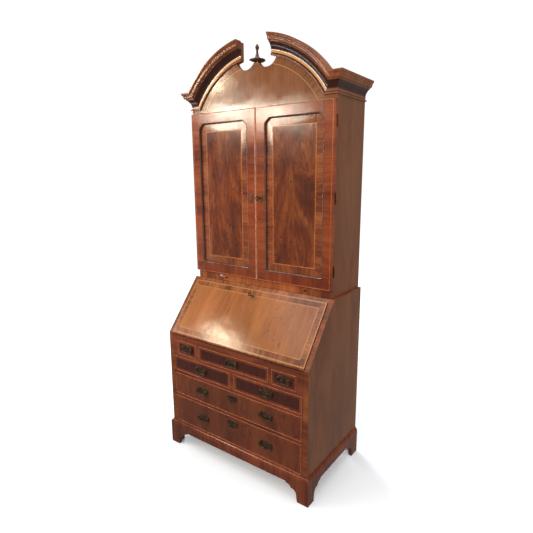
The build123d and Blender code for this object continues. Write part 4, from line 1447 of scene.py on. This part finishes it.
@dataclass
class Carcase:
    """CAD nodes that keep their shape and get their finish."""

    shop: Workshop
    plan: tuple[tuple[str, tuple[str, ...]], ...] = (
        ("gable", ("gable_left", "gable_right")), ("flank", ("upper_side_left", "upper_side_right")),
        ("cap", ("desk_top",)), ("rail", ("drawer_frame", "writing_bed", "loper_left", "loper_right")),
        ("waist", ("waist_rail",)), ("moulding", ("base_moulding",)), ("plinth", ("plinth",)),
        ("cornice", ("cornice_left", "cornice_right")), ("arch", ("tympanum",)),
        ("back", ("base_back", "upper_back")), ("oak", ("dustboards", "base_bottom")),
        ("inside", ("upper_boards", "pigeonholes")),
        ("hinge", ("case_brass",)), ("brass", ("door_left_brass", "door_right_brass", "fall_escutcheon")))
    eased: tuple[str, ...] = ("gable_left", "gable_right", "upper_side_left", "upper_side_right",
                              "desk_top", "loper_left", "loper_right")

    def build(self) -> None:
        """Dress every node and ease the sharp edges of the large boards."""
        for finish, nodes in self.plan:
            for node in nodes:
                self.shop.dress(node, finish)
        for node in self.eased:
            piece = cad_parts[node]
            weld = piece.modifiers.new("joined", "WELD")
            weld.merge_threshold = SMALL
            ease = piece.modifiers.new("eased", "BEVEL")
            ease.width = 0.0007
            ease.segments = 2
            ease.limit_method = "ANGLE"
            ease.angle_limit = math.radians(40)
            ease.use_clamp_overlap = True


# ------------------------------------------------------------------ studio
@dataclass
class Studio:
    """Floor, light and view."""

    palette: Palette
    eye: Point = (1.5004, -2.0026, 1.6940)
    azimuth: float = 36.081
    fall: float = 11.825
    roll: float = -0.387
    lens: float = 29.42

    def build(self) -> None:
        """Set up the scene."""
        self.floor()
        self.world()
        self.lights()
        self.camera()
        view = bpy.context.scene.view_settings
        view.view_transform = "Standard"
        view.look = "None"
        view.exposure = 0.0
        view.gamma = 1.0

    def floor(self) -> None:
        """Pale floor that takes shadows and throws no light back on the desk; it glows with painted light,
        dim near the desk and full further out.
        """
        bm = bmesh.new()
        bmesh.ops.create_grid(bm, x_segments=1, y_segments=1, size=30.0)
        mesh = bpy.data.meshes.new("floor")
        bm.to_mesh(mesh)
        bm.free()
        shade = Shade("pale_floor")
        speck = shade.noise(shade.place(), (3.0, 3.0, 3.0), 2.0)
        tint = shade.mix(speck, rgb(0.86, 0.91, 0.98), rgb(0.88, 0.93, 1.0))
        x, y, _ = shade.split(shade.place())
        # Painted light: the floor's glow is dim near the desk and full further out, so it reads white far off
        # while the lamps' shadows show near the desk.
        away = ((x * x + y * y) ** 0.5).step(1.3, 4.5)
        floor_painted_glow = shade.mix(away, rgb(0.20, 0.20, 0.20), rgb(1.0, 1.0, 1.0))
        mesh.materials.append(shade.done(Base_Color=tint, Roughness=speck * 0.1 + 0.8,
                                         Emission_Color=floor_painted_glow, Emission_Strength=0.85))
        piece = bpy.data.objects.new("floor", mesh)
        bpy.context.scene.collection.objects.link(piece)
        piece.visible_diffuse = False
        piece.visible_glossy = False

    def world(self) -> None:
        """Even white surround; the desk itself sees a dimmer one."""
        world = bpy.data.worlds.new("studio")
        bpy.context.scene.world = world
        world.use_nodes = True
        tree = world.node_tree
        tree.nodes.clear()
        output = tree.nodes.new("ShaderNodeOutputWorld")
        seen = tree.nodes.new("ShaderNodeBackground")
        seen.inputs[0].default_value = rgb(1.0, 1.0, 1.0)
        seen.inputs[1].default_value = 1.05
        felt = tree.nodes.new("ShaderNodeBackground")
        felt.inputs[0].default_value = rgb(1.0, 0.95, 0.90)
        felt.inputs[1].default_value = 0.30
        path = tree.nodes.new("ShaderNodeLightPath")
        blend = tree.nodes.new("ShaderNodeMixShader")
        tree.links.new(path.outputs["Is Camera Ray"], blend.inputs[0])
        tree.links.new(felt.outputs[0], blend.inputs[1])
        tree.links.new(seen.outputs[0], blend.inputs[2])
        tree.links.new(blend.outputs[0], output.inputs[0])

    def lights(self) -> None:
        """Large soft boxes that light the desk, and narrow ones that show in its polish."""
        self.soft_box("overhead", (0.0, -0.6, 4.6), (0.0, 0.0, 0.0), (5.0, 5.0), 142.0, PALE)
        self.soft_box("front", (-0.4, -4.6, 3.3), (0.0, 0.0, 1.1), (1.8, 1.2), 56.0, WARM)
        self.soft_box("back_left", (-2.2, 1.9, 2.1), (0.0, 0.0, 1.6), (1.0, 2.8), 80.0, COOL)
        self.soft_box("right_fill", (4.2, 0.6, 2.6), (0.3, 0.0, 0.7), (2.4, 2.0), 54.0, WARM)
        self.soft_box("arch_glow", (-1.93, -2.56, 2.45), (0.0, -0.03, 2.03), (1.15, 0.14), 30.0,
                      CREAM)
        self.soft_box("fall_glow", (-2.085, -1.846, 2.707), (-0.08, -0.27, 0.78), (0.34, 0.19),
                      11.0, GOLD)
        self.soft_box("window", (-2.85, -1.65, 1.35), (-0.3, 0.0, 1.45), (0.16, 2.3), 20.0, COOL)
        self.soft_box("right_strip", (1.95, -2.20, 1.10), (-0.42, -0.04, 1.4), (0.14, 1.5), 11.0,
                      COOL)

    def soft_box(self, name: str, place: Point, target: Point, size: tuple[float, float],
                 power: float, tint: tuple[float, float, float]) -> None:
        """Add one rectangular light.

        Args:
            name: Its name.
            place: Its middle.
            target: Point it faces.
            size: Width and height.
            power: Watts.
            tint: Its colour.
        """
        light = bpy.data.lights.new(name, "AREA")
        light.shape = "RECTANGLE"
        light.size, light.size_y = size
        light.energy = power
        light.color = tint
        piece = bpy.data.objects.new(name, light)
        bpy.context.scene.collection.objects.link(piece)
        aim = Vector(target) - Vector(place)
        turn = aim.to_track_quat("-Z", "Y").to_matrix().to_4x4()
        piece.matrix_world = Matrix.Translation(place) @ turn

    def camera(self) -> None:
        """Put the camera where the view was taken from."""
        turn = math.radians(self.azimuth)
        tip = math.radians(self.fall)
        roll = math.radians(self.roll)
        ahead = Vector((-math.sin(turn) * math.cos(tip), math.cos(turn) * math.cos(tip),
                        -math.sin(tip)))
        right = Vector((math.cos(turn), math.sin(turn), 0.0))
        up = right.cross(ahead)
        across = right * math.cos(roll) + up * math.sin(roll)
        upright = up * math.cos(roll) - right * math.sin(roll)
        data = bpy.data.cameras.new("view")
        data.sensor_width = 36.0
        data.lens = self.lens
        piece = bpy.data.objects.new("view", data)
        bpy.context.scene.collection.objects.link(piece)
        rotation = Matrix((across, upright, -ahead)).transposed().to_4x4()
        piece.matrix_world = Matrix.Translation(self.eye) @ rotation
        bpy.context.scene.camera = piece


def main() -> None:
    """Build every sub-assembly in order, then light and view the desk."""
    logging.basicConfig(level=logging.INFO, format="%(name)s: %(message)s")
    palette = Palette()
    shop = Workshop(palette)
    Studio(palette).build()
    Carcase(shop).build()
    DrawerSet(shop).build()
    Brasswork(shop).build()
    Fall(shop).build()
    Doors(shop).build()
    Details(shop).build()
    LOG.info("made %d pieces", shop.made)


if __name__ == "__main__":
    main()
